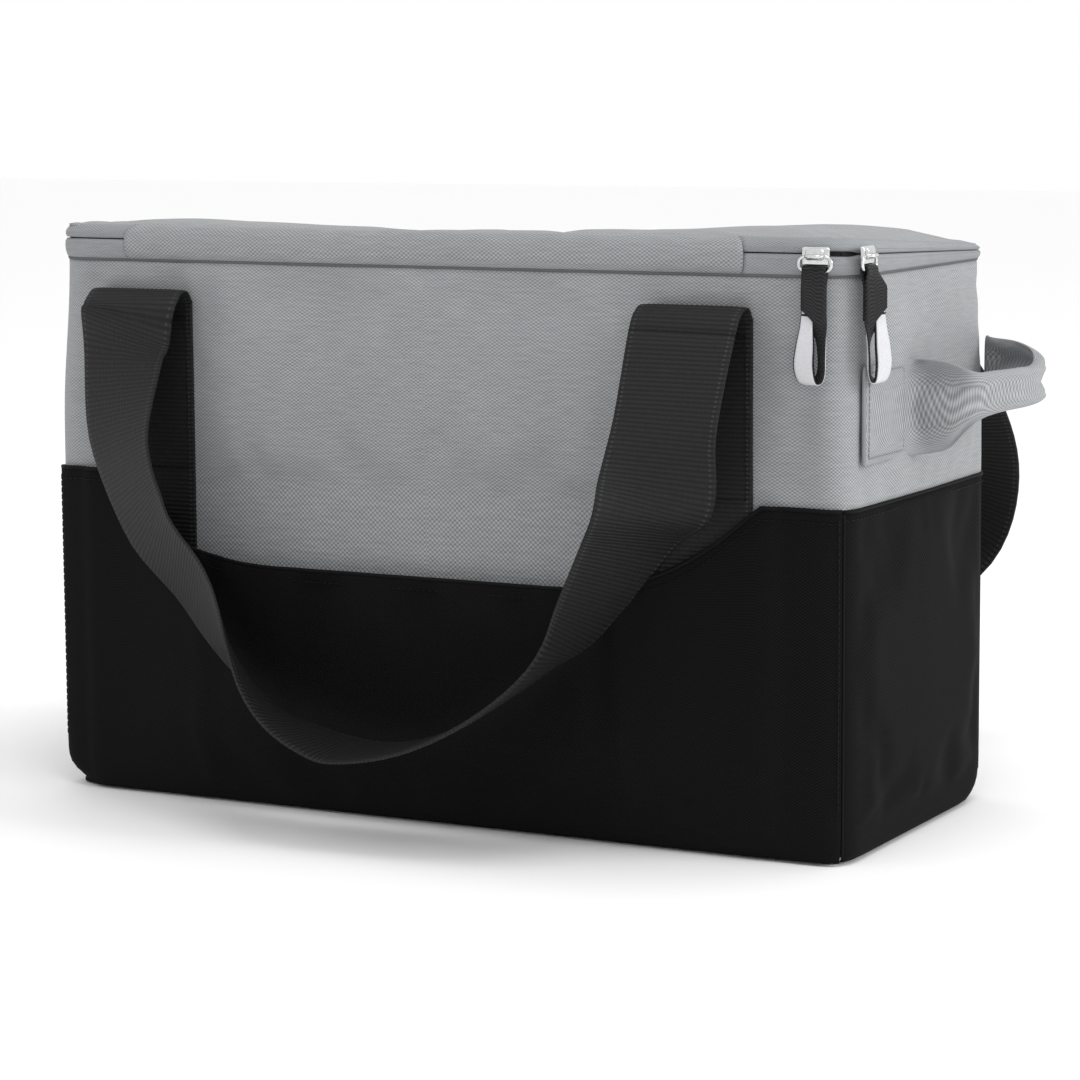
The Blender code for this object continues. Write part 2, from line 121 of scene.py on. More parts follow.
table_white, tree, shader = new_material("white laminate table")
shader.inputs["Base Color"].default_value = paint("#FBFBFB")
shader.inputs["Roughness"].default_value = 0.7
shader.inputs["Specular IOR Level"].default_value = 0.2
pick_nothing()
bpy.ops.mesh.primitive_plane_add(size=TABLE_SIZE, location=(0, 0, -TABLE_DROP))
table = bpy.context.object
table.name = "studio_table"
cover(table, table_white)

world = bpy.data.worlds.new("studio_air")
bpy.context.scene.world = world
world.use_nodes = True
world.node_tree.nodes["Background"].inputs["Color"].default_value = paint("#FFFFFF")
world.node_tree.nodes["Background"].inputs["Strength"].default_value = 1.0


def soft_light(name, place, target, size, power):
    """A square soft box at a place, turned to a target, with its side in metres and its power in watts."""
    lamp_data = bpy.data.lights.new(name, "AREA")
    lamp_data.shape = "SQUARE"
    lamp_data.size = size
    lamp_data.energy = power
    lamp = bpy.data.objects.new(name, lamp_data)
    bpy.context.scene.collection.objects.link(lamp)
    lamp.location = place
    lamp.rotation_euler = (Vector(target) - Vector(place)).to_track_quat("-Z", "Y").to_euler()


soft_light("right_softbox", (2.0, 0.1, 0.9), (0.1, 0, 0.14), 0.7, 16)
soft_light("top_softbox", (0.5, -0.5, 2.2), (0, 0, 0.12), 0.8, 10)

# ---------------------------------------------------------------------------------------------------
# Outer walls: grey woven polyester above, the same cloth in black below, sewn over foam boards.
# The cloth is laid on the box as one sheet of quads, held at its seams and let swell and wrinkle
# a little between them, then parted into its grey and black pieces.
# ---------------------------------------------------------------------------------------------------
base_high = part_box("base_panel")[1]
HALF_X = base_high[0]
HALF_Y = base_high[1]
BAND_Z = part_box("back_lower_panel")[1][2]
SEAM_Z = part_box("front_panel")[1][2]
EDGE_R = 12 * MM                # vertical corners
TOP_EDGE_R = 20 * MM            # the same corners at the zip, where the foam is softer
FOOT_R = 4 * MM                 # turn of the cloth into the base
FOOT_CORNER_R = 15 * MM         # the same turn at a corner of the base
SHARP_FOOT_R = 5 * MM           # the front right corner of the base, which stays crisp
CROWN = 1.1 * MM                # how far the middle of a wall stands out
CLOTH_T = 1.0 * MM
ROUND = 4 * (HALF_X + HALF_Y)   # once round the bag
COLUMNS = 192                   # cells of cloth once round the bag
ROWS_LOW = 28                   # rows of them in the black cloth
ROWS_HIGH = 16                  # and in the grey
WEAVE = 1.35 * MM               # two picks of the doubled yarn


def ease(value):
    """0 to 1 with a gentle start and end."""
    value = min(max(value, 0.0), 1.0)
    return value * value * (3 - 2 * value)


def round_off(x, y, half_x, half_y, radius):
    """Move a point of a square-cornered outline onto the same outline with round corners."""
    over_x, over_y = abs(x) - (half_x - radius), abs(y) - (half_y - radius)
    if over_x <= 0 or over_y <= 0:
        return x, y
    shrink = max(over_x, over_y) / math.hypot(over_x, over_y)
    return (math.copysign(half_x - radius + over_x * shrink, x),
            math.copysign(half_y - radius + over_y * shrink, y))


def plan(station, inset=0.0, radius=EDGE_R):
    """Plan point at a distance round the bag from the middle of the front, going right."""
    s = station % ROUND
    half_x, half_y = HALF_X - inset, HALF_Y - inset
    corners = (HALF_X, HALF_X + 2 * HALF_Y, 3 * HALF_X + 2 * HALF_Y, 3 * HALF_X + 4 * HALF_Y)
    if s < corners[0]:
        x, y = s, -HALF_Y
    elif s < corners[1]:
        x, y = HALF_X, s - corners[0] - HALF_Y
    elif s < corners[2]:
        x, y = HALF_X - (s - corners[1]), HALF_Y
    elif s < corners[3]:
        x, y = -HALF_X, HALF_Y - (s - corners[2])
    else:
        x, y = s - ROUND, -HALF_Y
    return round_off(x * half_x / HALF_X, y * half_y / HALF_Y, half_x, half_y, radius)


def near_corner(station, reach):
    """1 on a vertical corner of the bag, falling to 0 at reach from it, with the corner's number."""
    s = station % ROUND
    corners = (HALF_X, HALF_X + 2 * HALF_Y, 3 * HALF_X + 2 * HALF_Y, 3 * HALF_X + 4 * HALF_Y)
    gaps = [min(abs(s - c), ROUND - abs(s - c)) for c in corners]
    index = gaps.index(min(gaps))
    return ease(1 - gaps[index] / reach), index


def wall(station, z, out=0.0):
    """A point of the outer cloth before it swells: out moves it away from the bag."""
    corner, index = near_corner(station, 26 * MM)
    foot = FOOT_R + (SHARP_FOOT_R - FOOT_R if index == 0 else FOOT_CORNER_R - FOOT_R) * corner
    tuck = 0.0
    if z < foot:
        tuck = foot - math.sqrt(max(foot ** 2 - (foot - z) ** 2, 0.0))
    radius = EDGE_R + (TOP_EDGE_R - EDGE_R) * ease((z - 175 * MM) / (SEAM_Z - 175 * MM))
    if index in (1, 2, 3):
        radius = radius + 3 * MM * ease((z - 150 * MM) / (100 * MM))
    mid_height = math.sin(math.pi * min(z / SEAM_Z, 1.0)) ** 0.8
    swell = CROWN * (1 - near_corner(station, 110 * MM)[0]) * mid_height
    x, y = plan(station, tuck - out, radius)
    side = Vector((x, y)) - Vector(plan(station, 20 * MM, radius))
    side.normalize()
    return Vector((x + side.x * swell, y + side.y * swell, z))


def cloth_sheet(name, columns, rows, size_u, size_v, place, closed=False, pattern_v=None):
    """A sheet of quads laid where place(u, v) says. Its UV map is in metres, pattern_v of them along v."""
    pick_nothing()
    bpy.ops.mesh.primitive_grid_add(x_subdivisions=columns, y_subdivisions=rows, size=1.0)
    sheet = bpy.context.object
    sheet.name = name
    for vert in sheet.data.vertices:
        vert.co = place((vert.co.x + 0.5) * size_u, (vert.co.y + 0.5) * size_v)
    for corner in sheet.data.uv_layers[0].uv:
        corner.vector = (corner.vector[0] * size_u, corner.vector[1] * (pattern_v or size_v))
    if closed:
        bpy.ops.object.mode_set(mode="EDIT")
        bpy.ops.mesh.select_all(action="SELECT")
        bpy.ops.mesh.remove_doubles(threshold=0.00002)
        bpy.ops.object.mode_set(mode="OBJECT")
    return sheet


def swell_cloth(sheet, held, pressure, slack, cap, frames=16):
    """Let the cloth move between the places where it is held, by no more than cap."""
    start = [vert.co.copy() for vert in sheet.data.vertices]
    seams = sheet.vertex_groups.new(name="held")
    for vert in sheet.data.vertices:
        weight = held(vert.co)
        if weight > 0:
            seams.add([vert.index], weight, "REPLACE")
    cloth = sheet.modifiers.new("cloth", "CLOTH")
    cloth.settings.quality = 6
    cloth.settings.mass = 0.2
    cloth.settings.tension_stiffness = 20
    cloth.settings.compression_stiffness = 12
    cloth.settings.shear_stiffness = 6
    cloth.settings.bending_stiffness = 1.2
    cloth.settings.vertex_group_mass = "held"
    cloth.settings.use_pressure = True
    cloth.settings.uniform_pressure_force = pressure
    cloth.settings.effector_weights.gravity = 0
    cloth.settings.shrink_min = -slack
    cloth.settings.shrink_max = -slack
    for moment in range(1, frames + 1):
        bpy.context.scene.frame_set(moment)
    pick(sheet)
    bpy.ops.object.modifier_apply(modifier="cloth")
    bpy.context.scene.frame_set(1)
    sheet.vertex_groups.clear()
    for vert, before in zip(sheet.data.vertices, start):
        step = vert.co - before
        if step.length > cap:
            vert.co = before + step * (cap / step.length)


def finish_cloth(sheet, thickness=CLOTH_T, subdivide=1, offset=-1.0):
    """One subdivision, then the cloth's thickness."""
    pick(sheet)
    if subdivide:
        smoothing = sheet.modifiers.new("smoothing", "SUBSURF")
        smoothing.levels = subdivide
        smoothing.render_levels = subdivide
        smoothing.boundary_smooth = "PRESERVE_CORNERS"
        bpy.ops.object.modifier_apply(modifier="smoothing")
    wall_thickness = sheet.modifiers.new("thickness", "SOLIDIFY")
    wall_thickness.thickness = thickness
    wall_thickness.offset = offset
    bpy.ops.object.modifier_apply(modifier="thickness")
    bpy.ops.object.shade_smooth()


def wall_height(v):
    """Rows lie close at the foot, and one of them is on the seam between the grey and the black cloth."""
    rows = ROWS_LOW + ROWS_HIGH
    row = v / SEAM_Z * rows
    if row <= ROWS_LOW:
        return BAND_Z * (0.35 * row / ROWS_LOW + 0.65 * (row / ROWS_LOW) ** 2.2)
    return BAND_Z + (SEAM_Z - BAND_Z) * (row - ROWS_LOW) / ROWS_HIGH


def behind_pocket(point):
    """On the grey front panel, where the front pocket lies over it."""
    return point.z < BAND_Z + 0.5 * MM and point.y < -HALF_Y + 6 * MM and abs(point.x) < HALF_X - 5 * MM


def behind_leg(point):
    """Under the sewn legs of the carry handles, front and back."""
    low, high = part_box("front_handle_left_leg"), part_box("front_handle_right_leg")
    over_left = low[0][0] - 3 * MM < point.x < low[1][0] + 3 * MM
    over_right = high[0][0] - 3 * MM < point.x < high[1][0] + 3 * MM
    return (over_left or over_right) and abs(point.y) > HALF_Y - 8 * MM and point.z < low[1][2] + 4 * MM


def wall_held(point):
    """Held along the seams, at the corners and where another layer lies over the cloth."""
    if point.z > SEAM_Z - 2 * MM or point.z < 16 * MM or abs(point.z - BAND_Z) < 2 * MM:
        return 1.0
    if behind_pocket(point) or behind_leg(point):
        return 1.0
    corner = math.hypot(HALF_X - abs(point.x), HALF_Y - abs(point.y))
    return 0.9 * ease(1.6 - corner / (14 * MM))


walls = cloth_sheet("grey_upper_walls", COLUMNS, ROWS_LOW + ROWS_HIGH, ROUND, SEAM_Z,
                    lambda u, v: wall(u, wall_height(v)), closed=True)
swell_cloth(walls, wall_held, pressure=0.6, slack=0.012, cap=2.6 * MM)


def wave(tree, coordinate, length):
    """A sine wave of this length along a coordinate."""
    turns = add_node(tree, "ShaderNodeMath", {0: coordinate, 1: 2 * math.pi / length},
                     operation="MULTIPLY")
    return add_node(tree, "ShaderNodeMath", {0: turns.outputs[0]}, operation="SINE").outputs[0]


def uneven_yarn(tree, uv, across, along):
    """Short streaks of thicker and thinner yarn, so many to the metre across the cloth and along it."""
    stretch = add_node(tree, "ShaderNodeMapping", {"Vector": uv.outputs["UV"],
                                                   "Scale": (across, along, 1.0)})
    return add_node(tree, "ShaderNodeTexNoise", {"Vector": stretch.outputs[0], "Scale": 1.0,
                                                 "Detail": 3.0}).outputs["Fac"]


def show_threads(tree, shader, colour, shade, crown, yarn, strength, depth):
    """Shade the colour, and raise the threads' crowns and the thicker yarn by a bump."""
    tint = add_node(tree, "ShaderNodeVectorMath", {0: colour, "Scale": shade}, operation="SCALE")
    tree.links.new(tint.outputs[0], shader.inputs["Base Color"])
    height = add_node(tree, "ShaderNodeMath", {0: crown, 1: yarn}, operation="ADD")
    bump = add_node(tree, "ShaderNodeBump", {"Strength": strength, "Distance": depth,
                                             "Height": height.outputs[0]})
    tree.links.new(bump.outputs[0], shader.inputs["Normal"])


def woven(name, crown_hex, shaded_valley_hex, pitch, depth, roughness, sheen, slub=0.08, gloss=0.3):
    """Plain-woven polyester: threads passing over and under with painted shade in the hollows between them,
    uneven yarn, and a soft sheen.
    """
    material, tree, shader = new_material(name)
    uv = add_node(tree, "ShaderNodeUVMap", uv_map="UVMap")
    split = add_node(tree, "ShaderNodeSeparateXYZ", {"Vector": uv.outputs["UV"]})
    weft, warp = wave(tree, split.outputs["X"], 1.7 * pitch), wave(tree, split.outputs["Y"], pitch)
    over_under = add_node(tree, "ShaderNodeMath", {0: weft, 1: warp}, operation="MULTIPLY")
    crown = add_node(tree, "ShaderNodeMapRange",
                     {"Value": over_under.outputs[0], "From Min": -1.0, "From Max": 1.0})
    yarn = uneven_yarn(tree, uv, 90.0, 900.0)
    broad = add_node(tree, "ShaderNodeTexNoise", {"Vector": uv.outputs["UV"], "Scale": 14.0, "Detail": 3.0})
    # a Mix node has sockets for every kind of value: 6 and 7 are its two colours
    # the valley colour is painted shade: the hollows between the thread crowns are coloured darker, and the
    # crowns lighter, as the light would fall on them
    threads = add_node(tree, "ShaderNodeMix", {"Factor": crown.outputs[0], 6: paint(shaded_valley_hex),
                                               7: paint(crown_hex)}, data_type="RGBA")
    streak = add_node(tree, "ShaderNodeMapRange", {"Value": yarn, "From Min": 0.3, "From Max": 0.7,
                                                   "To Min": 1 - slub, "To Max": 1 + slub})
    patch = add_node(tree, "ShaderNodeMapRange", {"Value": broad.outputs["Fac"], "From Min": 0.3,
                                                  "From Max": 0.7, "To Min": 0.97, "To Max": 1.03})
    both = add_node(tree, "ShaderNodeMath", {0: streak.outputs[0], 1: patch.outputs[0]},
                    operation="MULTIPLY")
    show_threads(tree, shader, threads.outputs[2], both.outputs[0], crown.outputs[0], yarn, 0.6, depth)
    rough = add_node(tree, "ShaderNodeMapRange", {"Value": crown.outputs[0], "To Min": roughness + 0.08,
                                                  "To Max": roughness - 0.05})
    tree.links.new(rough.outputs[0], shader.inputs["Roughness"])
    shader.inputs["Sheen Weight"].default_value = sheen
    shader.inputs["Sheen Roughness"].default_value = 0.45
    shader.inputs["Specular IOR Level"].default_value = gloss
    return material


# Grey 600 denier polyester: a pale dot where each thread crosses over, and a darker grey between as painted
# shade in the hollows of the weave
grey_cloth = woven("grey woven polyester", "#A6A8AA", "#6E7072", WEAVE, 0.3 * MM, 0.66, 0.05)
# The same cloth dyed black: the weave shows only as a faint glint, its hollows painted darker than the
# thread crowns as painted shade
black_cloth = woven("black woven polyester", "#161617", "#060607", WEAVE, 0.2 * MM, 0.8, 0.0,
                    gloss=0.07)

pick(walls)
bpy.ops.object.mode_set(mode="EDIT")
bpy.ops.mesh.select_all(action="DESELECT")
bpy.ops.object.mode_set(mode="OBJECT")
for face in walls.data.polygons:
    middle = face.center
    face.select = middle.z < BAND_Z and not behind_pocket(middle)
bpy.ops.object.mode_set(mode="EDIT")
bpy.ops.mesh.select_mode(type="FACE")
bpy.ops.mesh.separate(type="SELECTED")
bpy.ops.object.mode_set(mode="OBJECT")
black_walls = [o for o in bpy.context.selected_objects if o != walls][0]
black_walls.name = "black_lower_walls"
walls.name = "grey_upper_walls"
finish_cloth(walls)
cover(walls, grey_cloth)
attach(walls, "bag_body")
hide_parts("front_panel", "back_upper_panel", "left_upper_panel", "right_upper_panel")

finish_cloth(black_walls)
cover(black_walls, black_cloth)
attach(black_walls, "bag_body")
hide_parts("back_lower_panel", "left_lower_panel", "right_lower_panel")

# ---------------------------------------------------------------------------------------------------
# Folded hem of the black cloth, where it is lapped over the grey and stitched down round both ends
# and the back. Polyester thread shows as a row of short stitches below the fold.
# ---------------------------------------------------------------------------------------------------
HEM_R = 0.9 * MM
STITCH_LONG = 2.4 * MM
STITCH_PITCH = 3.2 * MM
STITCH_R = 0.28 * MM
FRONT_SEAM = HALF_X - 1 * MM        # the hem starts and ends at the front corner seams


def face_out(piece, join=None):
    """Merge points nearer to each other than join, and point the faces of closed shapes outwards."""
    pick(piece)
    bpy.ops.object.mode_set(mode="EDIT")
    bpy.ops.mesh.select_all(action="SELECT")
    if join:
        bpy.ops.mesh.remove_doubles(threshold=join)
    bpy.ops.mesh.normals_make_consistent(inside=False)
    bpy.ops.object.mode_set(mode="OBJECT")
    bpy.ops.object.shade_smooth()
    return piece


def bead(name, points, radius, closed=False, resolution=2):
    """A rolled edge or cord of cloth along a row of points."""
    curve = bpy.data.curves.new(name, "CURVE")
    curve.dimensions = "3D"
    curve.bevel_depth = radius
    curve.bevel_resolution = resolution
    curve.use_fill_caps = True
    line = curve.splines.new("POLY")
    line.points.add(len(points) - 1)
    for point, place in zip(line.points, points):
        point.co = (*place, 1.0)
    line.use_cyclic_u = closed
    piece = bpy.data.objects.new(name, curve)
    bpy.context.scene.collection.objects.link(piece)
    pick(piece)
    bpy.ops.object.convert(target="MESH")
    return face_out(bpy.context.object, join=0.005 * MM)


def small_part(sides):
    """The points and faces of one small cylinder, which is then laid out many times."""
    pick_nothing()
    bpy.ops.mesh.primitive_cylinder_add(vertices=sides, radius=1.0, depth=1.0)
    one = bpy.context.object
    points = [vert.co.copy() for vert in one.data.vertices]
    faces = [tuple(face.vertices) for face in one.data.polygons]
    bpy.data.objects.remove(one)
    return points, faces


def laid_out(name, points, faces):
    """One piece that holds all the copies of a small part."""
    mesh = bpy.data.meshes.new(name)
    mesh.from_pydata(points, [], faces)
    mesh.update()
    piece = bpy.data.objects.new(name, mesh)
    bpy.context.scene.collection.objects.link(piece)
    return face_out(piece)


def stitches(name, route, outwards, long=STITCH_LONG, pitch=STITCH_PITCH, radius=STITCH_R):
    """A row of thread stitches that follows a route of points, raised along outwards(point)."""
    pattern, faces = small_part(6)
    verts, polys = [], []
    travelled = 0.0
    wanted = pitch / 2
    for first, second in zip(route, route[1:]):
        run = (second - first).length
        while run > 0 and wanted <= travelled + run:
            middle = first.lerp(second, (wanted - travelled) / run)
            along = (second - first).normalized()
            up = outwards(middle).normalized()
            across = along.cross(up).normalized()
            start = len(verts)
            for p in pattern:
                end = abs(p.z) * 2
                verts.append(middle + along * p.z * long + across * p.x * radius * (1.1 - 0.35 * end)
                             + up * (p.y * radius + radius * 0.4))
            polys += [tuple(start + i for i in face) for face in faces]
            wanted += pitch
        travelled += run
    return laid_out(name, verts, polys)


def spun(name, hex_code, roughness=0.6):
    """Spun polyester thread or folded binding: a fine mottle, too fine to show one fibre."""
    material, tree, shader = new_material(name)
    place = add_node(tree, "ShaderNodeTexCoord")
    twist = add_node(tree, "ShaderNodeTexNoise", {"Vector": place.outputs["Object"], "Scale": 1800.0,
                                                  "Detail": 2.0})
    shade = add_node(tree, "ShaderNodeMapRange", {"Value": twist.outputs["Fac"], "To Min": 0.75,
                                                  "To Max": 1.25})
    colour = add_node(tree, "ShaderNodeVectorMath", {0: paint(hex_code)[:3], "Scale": shade.outputs[0]},
                      operation="SCALE")
    tree.links.new(colour.outputs[0], shader.inputs["Base Color"])
    bump = add_node(tree, "ShaderNodeBump", {"Strength": 0.4, "Distance": 0.1 * MM,
                                             "Height": twist.outputs["Fac"]})
    tree.links.new(bump.outputs[0], shader.inputs["Normal"])
    shader.inputs["Roughness"].default_value = roughness
    shader.inputs["Specular IOR Level"].default_value = 0.15
    return material


black_thread = spun("black polyester thread", "#0E0E0F")
grey_thread = spun("grey polyester thread", "#8A8C8E")
black_binding = spun("black polyester binding", "#0A0A0B", 0.8)
# darker than the grey cloth: painted shadow along the seam under the band
seam_shadow_binding = spun("grey binding darkened as seam shadow", "#5C5E60", 0.8)


def away(point):
    """Straight out from the nearest wall of the bag."""
    if HALF_X - abs(point.x) < HALF_Y - abs(point.y):
        return Vector((math.copysign(1, point.x), 0, 0))
    return Vector((0, math.copysign(1, point.y), 0))


hem_stations = [FRONT_SEAM + (ROUND - 2 * FRONT_SEAM) * k / 150 for k in range(151)]
hem = bead("lower_cloth_hem", [wall(s, BAND_Z - 0.3 * MM, -0.1 * MM) for s in hem_stations], HEM_R)
cover(hem, black_binding)
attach(hem, "bag_body")
hem_row = stitches("lower_cloth_hem_stitches",
                   [wall(s, BAND_Z - 4.0 * MM, 0.3 * MM) for s in hem_stations], away)
cover(hem_row, black_thread)
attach(hem_row, "bag_body")

# ---------------------------------------------------------------------------------------------------
# Front pocket: one panel of black cloth over the whole front, sewn in at the corner seams and the
# base. Its top edge is hemmed and dips between the legs of the carry handle.
# ---------------------------------------------------------------------------------------------------
left_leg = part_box("front_handle_left_leg")
right_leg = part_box("front_handle_right_leg")
POCKET_DIP = 39 * MM            # how far the mouth falls between the legs
POCKET_BELLY = 9 * MM           # how far the empty pocket stands out from the wall
OVER_LEG = 2.5 * MM             # how far it stands out where it passes over a leg
POCKET_COLUMNS = 72
POCKET_ROWS = 24
POCKET_EDGE = HALF_X - 2 * MM


def pocket_mouth(x):
    """Height of the pocket's top edge across the front."""
    reach = min(x - left_leg[0][0] - 7 * MM, right_leg[1][0] + 1 * MM - x)
    reach = min(max(reach, 0.0) / (100 * MM), 1.0)
    return BAND_Z - POCKET_DIP * (1.0 - (1.0 - reach) ** 2.4)


def pocket_point(station, share):
    """A point of the pocket, share of the way up from the base to its mouth."""
    x = plan(station)[0]
    z = 1.5 * MM + (pocket_mouth(x) - 1.5 * MM) * share
    left, right = left_leg[0][0], right_leg[1][0]
    lift = ease((x - left + 14 * MM) / (10 * MM)) * ease((right + 14 * MM - x) / (10 * MM))
    lift *= ease((z - 2 * MM) / (7 * MM))
    belly = ease((x - left - 6 * MM) / (60 * MM)) * ease((right - 6 * MM - x) / (60 * MM))
    belly *= ease((z - 2 * MM) / (40 * MM))
    out = 0.9 * MM + OVER_LEG * lift + (POCKET_BELLY - OVER_LEG) * belly
    return wall(station, z, out)


def pocket_held(point):
    """Held at its sewn edges and its hem, and stiff where it lies on the legs."""
    if abs(point.x) > HALF_X - 9 * MM or point.z < 8 * MM:
        return 1.0
    top = pocket_mouth(point.x)
    if point.z > top - 2 * MM:
        return 0.95
    if point.x < left_leg[1][0] + 4 * MM or point.x > right_leg[0][0] - 4 * MM:
        return 0.85
    return 0.0


pocket = cloth_sheet("front_pocket_cloth", POCKET_COLUMNS, POCKET_ROWS, 2 * POCKET_EDGE, 1.0,
                     lambda u, v: pocket_point(ROUND - POCKET_EDGE + u, v), pattern_v=BAND_Z)
swell_cloth(pocket, pocket_held, pressure=0.3, slack=0.012, cap=3.0 * MM)
last_row = list(pocket.data.vertices)[-(POCKET_COLUMNS + 1):]
mouth_edge = [vert.co.copy() for vert in last_row]
finish_cloth(pocket, offset=1.0)
cover(pocket, black_cloth)
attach(pocket, "bag_body")
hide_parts("front_pocket")

pocket_hem = bead("front_pocket_hem", [p + Vector((0, -0.4 * MM, 0)) for p in mouth_edge], 1.0 * MM)
cover(pocket_hem, black_binding)
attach(pocket_hem, "bag_body")
pocket_row = stitches("front_pocket_hem_stitches",
                      [p + Vector((0, -1.3 * MM, -5.0 * MM)) for p in mouth_edge],
                      lambda p: Vector((0, -1, 0)))
cover(pocket_row, black_thread)
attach(pocket_row, "bag_body")

# Corner seams of the black cloth: a rolled edge up each vertical corner of the lower part
for index, station in enumerate((HALF_X, HALF_X + 2 * HALF_Y, 3 * HALF_X + 2 * HALF_Y,
                                 3 * HALF_X + 4 * HALF_Y)):
    heights = [4 * MM + (BAND_Z - 5 * MM) * k / 30 for k in range(31)]
    seam = bead(f"corner_seam_{index + 1}", [wall(station, z, 0.2 * MM) for z in heights], 0.8 * MM)
    cover(seam, black_binding)
    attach(seam, "bag_body")
    beside = station - 4.5 * MM if index in (0, 2) else station + 4.5 * MM
    heights = [24 * MM + (BAND_Z - 26 * MM) * k / 30 for k in range(31)]
    row = stitches(f"corner_seam_stitches_{index + 1}", [wall(beside, z, 1.9 * MM if index in (0, 3) else
                   0.2 * MM) for z in heights], away)
    cover(row, black_thread)
    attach(row, "bag_body")

# ---------------------------------------------------------------------------------------------------
# Base: black cloth over a stiff board, sewn to the walls just inside their turned-in foot.
# ---------------------------------------------------------------------------------------------------
BASE_INSET = 3.6 * MM
BASE_CORNER_R = 14 * MM


def base_point(u, v):
    """The base cloth, flat but for its edge, which turns up to meet the walls."""
    x, y = round_off(u - HALF_X + BASE_INSET, v - HALF_Y + BASE_INSET, HALF_X - BASE_INSET,
                     HALF_Y - BASE_INSET, BASE_CORNER_R)
    edge = min(HALF_X - BASE_INSET - abs(x), HALF_Y - BASE_INSET - abs(y))
    return Vector((x, y, 0.15 * MM + 0.5 * MM * (1 - ease(edge / (6 * MM)))))


base = cloth_sheet("base_cloth", 80, 34, 2 * (HALF_X - BASE_INSET), 2 * (HALF_Y - BASE_INSET), base_point)
finish_cloth(base, subdivide=0, offset=1.0)
cover(base, black_cloth)
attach(base, "bag_body")
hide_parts("base_panel")

# ---------------------------------------------------------------------------------------------------
# Inside: a heat-sealed tub of silver foil-faced film, closed-cell foam boards behind it, a stiff
# board under it, and a black binding sewn over the top edge of the wall.
# ---------------------------------------------------------------------------------------------------
liner_low, liner_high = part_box("liner_tub")
TUB_HALF_X = liner_high[0] - 0.9 * MM
TUB_HALF_Y = liner_high[1] - 0.9 * MM
TUB_FLOOR = liner_low[2] + 1.0 * MM
TUB_TOP = liner_high[2] + 0.5 * MM
TUB_ROUND = 4 * (TUB_HALF_X + TUB_HALF_Y)
FLOOR_SHARE = 0.35              # share of the sheet's rows that lie in the floor


def tub_point(u, v):
    """The tub as one sheet: the middle of the floor at v = 0, up the wall to the top at v = 1."""
    climb = max(v - FLOOR_SHARE, 0.0) / (1 - FLOOR_SHARE)
    z = TUB_FLOOR + (TUB_TOP - TUB_FLOOR) * climb
    x, y = plan(u / TUB_ROUND * ROUND, 0, 8 * MM + 8 * MM * ease((z - 150 * MM) / (80 * MM)))
    x, y = x * TUB_HALF_X / HALF_X, y * TUB_HALF_Y / HALF_Y
    if v < FLOOR_SHARE:
        inward = v / FLOOR_SHARE
        ripple = 0.5 * MM * noise.noise(Vector((x * inward * 30, y * inward * 30, 1)))
        return Vector((x * inward, y * inward, TUB_FLOOR + ripple + 0.6 * MM))
    ripple = 1.1 * MM * noise.noise(Vector((x * 18, y * 18, z * 14))) - 0.8 * MM
    ripple *= math.sin(math.pi * climb)
    return Vector((x * (1 + ripple / TUB_HALF_X), y * (1 + ripple / TUB_HALF_Y), z))


tub = cloth_sheet("silver_liner", 320, 60, TUB_ROUND, 1.0, tub_point, closed=True, pattern_v=360 * MM)
pick(tub)
bpy.ops.object.mode_set(mode="EDIT")
bpy.ops.mesh.select_all(action="SELECT")
bpy.ops.mesh.dissolve_degenerate(threshold=0.02 * MM)
bpy.ops.mesh.normals_make_consistent(inside=True)
bpy.ops.object.mode_set(mode="OBJECT")
finish_cloth(tub, thickness=0.5 * MM, subdivide=0)


def foil(name):
    """Aluminised PEVA film: dull silver, creased where it has been folded, with a fine embossed grain."""
    material, tree, shader = new_material(name)
    place = add_node(tree, "ShaderNodeTexCoord")
    creases = add_node(tree, "ShaderNodeTexVoronoi", {"Vector": place.outputs["Object"], "Scale": 55.0},
                       feature="DISTANCE_TO_EDGE")
    folds = add_node(tree, "ShaderNodeTexNoise", {"Vector": place.outputs["Object"], "Scale": 26.0,
                                                  "Detail": 4.0})
    height = add_node(tree, "ShaderNodeMath", {0: creases.outputs["Distance"], 1: folds.outputs["Fac"]},
                      operation="ADD")
    bump = add_node(tree, "ShaderNodeBump", {"Strength": 0.5, "Distance": 1.2 * MM,
                                             "Height": height.outputs[0]})
    tree.links.new(bump.outputs[0], shader.inputs["Normal"])
    grain = add_node(tree, "ShaderNodeTexNoise", {"Vector": place.outputs["Object"], "Scale": 900.0})
    rough = add_node(tree, "ShaderNodeMapRange", {"Value": grain.outputs["Fac"], "To Min": 0.24,
                                                  "To Max": 0.42})
    tree.links.new(rough.outputs[0], shader.inputs["Roughness"])
    shade = add_node(tree, "ShaderNodeMix", {"Factor": folds.outputs["Fac"], 6: paint("#B4B6B9"),
                                             7: paint("#D2D4D6")}, data_type="RGBA")
    tree.links.new(shade.outputs[2], shader.inputs["Base Color"])
    shader.inputs["Metallic"].default_value = 0.75
    return material


silver_foil = foil("silver foil-faced PEVA film")
cover(tub, silver_foil)
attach(tub, "bag_body")
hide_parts("liner_tub")

foam_white, tree, shader = new_material("closed-cell polyethylene foam")
place = add_node(tree, "ShaderNodeTexCoord")
cells = add_node(tree, "ShaderNodeTexVoronoi", {"Vector": place.outputs["Object"], "Scale": 900.0})
cell_shade = add_node(tree, "ShaderNodeMix", {"Factor": cells.outputs["Distance"], 6: paint("#D8D8D6"),
                                              7: paint("#F2F2F0")}, data_type="RGBA")
tree.links.new(cell_shade.outputs[2], shader.inputs["Base Color"])
cell_bump = add_node(tree, "ShaderNodeBump", {"Strength": 0.5, "Distance": 0.2 * MM,
                                              "Height": cells.outputs["Distance"]})
tree.links.new(cell_bump.outputs[0], shader.inputs["Normal"])
shader.inputs["Roughness"].default_value = 0.85

